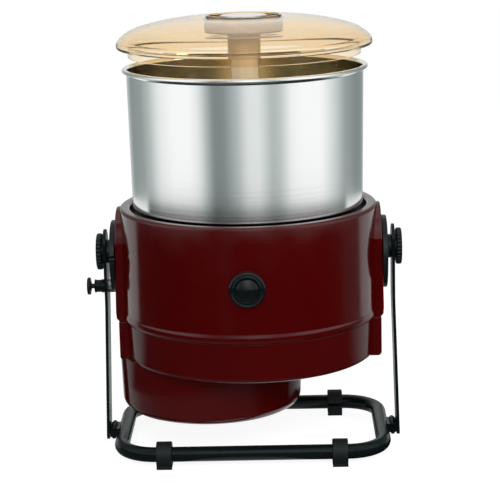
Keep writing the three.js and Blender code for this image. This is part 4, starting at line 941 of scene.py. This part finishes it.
# %% The welds
def bead(length, radius, ripples):
    """A bead of weld along Y: a long ball with a ripple for each pause of the torch."""
    bm = bmesh.new()
    bmesh.ops.create_uvsphere(bm, u_segments=20, v_segments=48, radius=1)
    for vert in bm.verts:
        ripple = 1 + 0.1 * math.cos(ripples * math.pi * vert.co.z)
        vert.co.x *= radius * ripple
        vert.co.y *= radius * ripple
    bmesh.ops.scale(bm, vec=(1, 1, length / 2), verts=bm.verts[:])
    return moved(bm, TO_FRONT)


for side in (-1, 1):
    filler = outline([(136.2, 8.5, 1), (148, 8.5, 1), (148, 17.5, 1), (136.2, 17.5, 1)])
    filler = moved(thick(filler, 24), TO_FRONT, (0, 12, 0), side)
    loop = carved(loop, filler, "UNION")
    for height in (8.7, 17.3):
        loop = carved(loop, moved(bead(30, 3.2, 9), by=(144.4, 0, height), side=side), "UNION")
finished(loop, "stand", "base_frame", enamel, ["stand_frame"], crease=40)

# %% [markdown]
# ## The rubber feet
# Four rubber feet are clipped round the tube. Each is a thick ring with a slit, made by spinning one
# edge nearly all the way round. The lower half of its outside is pushed out into a square base, and
# nothing may reach below that.

# %% The feet
CLIP = 15.5
CLIP_OUT = 87.45


def clip_foot():
    """A clip along X, with its axis at the origin and its slit towards +Y."""
    bm = bmesh.new()
    inner = bm.verts.new((0, 7.8, 0))
    outer = bm.verts.new((0, TUBE_HEIGHT, 0))
    bm.edges.new((inner, outer))
    gap = math.radians(7)
    bmesh.ops.rotate(bm, verts=bm.verts[:], cent=(0, 0, 0), matrix=Matrix.Rotation(gap, 3, "X"))
    bmesh.ops.spin(bm, geom=bm.verts[:] + bm.edges[:], cent=(0, 0, 0), axis=(1, 0, 0),
                   angle=2 * math.pi - 2 * gap, steps=64, use_merge=False, use_duplicate=False)
    for vert in bm.verts:
        if math.hypot(vert.co.y, vert.co.z) > 12 and vert.co.z < -6:
            vert.co.y = max(-9.6, min(9.6, vert.co.y * 1.25))
            vert.co.z = -TUBE_HEIGHT if abs(vert.co.y) < 9.2 else max(vert.co.z * 1.3, -TUBE_HEIGHT)
    grown = bmesh.ops.extrude_face_region(bm, geom=bm.faces[:])
    bmesh.ops.translate(bm, vec=(CLIP, 0, 0), verts=only(bmesh.types.BMVert, grown["geom"]))
    bmesh.ops.recalc_face_normals(bm, faces=bm.faces[:])
    bm = rim_softened(rim_softened(bm, (1, 0, 0), 0.9, 3), (-1, 0, 0), 0.9, 3)
    for vert in bm.verts:
        vert.co.z = max(vert.co.z, -TUBE_HEIGHT)
    return moved(bm, by=(-CLIP / 2, 0, 0))


for end, toward in (("front", -1), ("back", 1)):
    for hand, side in (("left", -1), ("right", 1)):
        foot = clip_foot()
        if toward > 0:
            bmesh.ops.rotate(foot, verts=foot.verts[:], cent=(0, 0, 0),
                             matrix=Matrix.Rotation(math.pi, 3, "Z"))
        moved(foot, by=(side * CLIP_OUT, toward * (BEND_Y + BEND_RADIUS), TUBE_HEIGHT))
        finished(foot, "rubber_foot_" + end + "_" + hand, "base_frame", rubber,
                 ["foot_" + end + "_" + hand])

# %% [markdown]
# ## The lock plunger
# On the left bar a small barrel guides a sprung pin with a mushroom grip. Its tip drops into a hole
# of the index disc. Both are turned pieces on one line.

# %% The plunger
sleeve = turned([(2.8, 139.8), (5, 139.8, 0.3), (5, 147.8), (6.9, 147.8, 0.6), (6.9, 151.3), (6.3, 152),
                 (6.3, 156.6), (6.9, 157.2), (6.9, 158.6, 0.8), (2.8, 158.6, 0.3)], 48)
finished(across(sleeve, PIVOT - PIN_CIRCLE, -1), "plunger_sleeve", "base_frame", enamel,
         ["plunger_barrel"])
pin = turned([(0, 139.8), (2.5, 139.8, 0.8), (2.5, 161.9), (4.9, 161.9, 0.3), (4.9, 162.7, 0.2),
              (8.9, 162.7, 0.9), (8.9, 166.1, 1.2), (0, 166.1)], 48)
finished(across(pin, PIVOT - PIN_CIRCLE, -1), "plunger_pin", "plunger", black_plastic,
         ["lock_plunger"])

# %% [markdown]
# ## The hidden works
# The chassis, bearings, motor and belt are hidden inside, where their CAD shapes are enough. They
# still get their real finishes, for the day that someone opens the machine.

# %% Finishes for the inner pieces
inner = {
    zinc: ["chassis_plate", "bearing_lower", "bearing_upper", "spindle_bridge", "spindle_nut",
           "pivot_bolt_left", "pivot_bolt_right", "side_bracket_left", "side_bracket_right",
           "motor_plate", "motor_spacer_front", "motor_spacer_back", "plunger_nut"],
    cast: ["bearing_housing", "motor_pinion", "drum_pulley"],
    steel: ["fixed_spindle", "motor_shaft", "drive_sleeve"],
    motor_paint: ["motor"],
    rubber: ["drive_belt"],
    black_plastic: ["switch_body"],
}
for paint, names in inner.items():
    for name in names:
        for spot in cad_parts[name].material_slots:
            spot.material = paint
print("inner pieces", sum(len(names) for names in inner.values()))
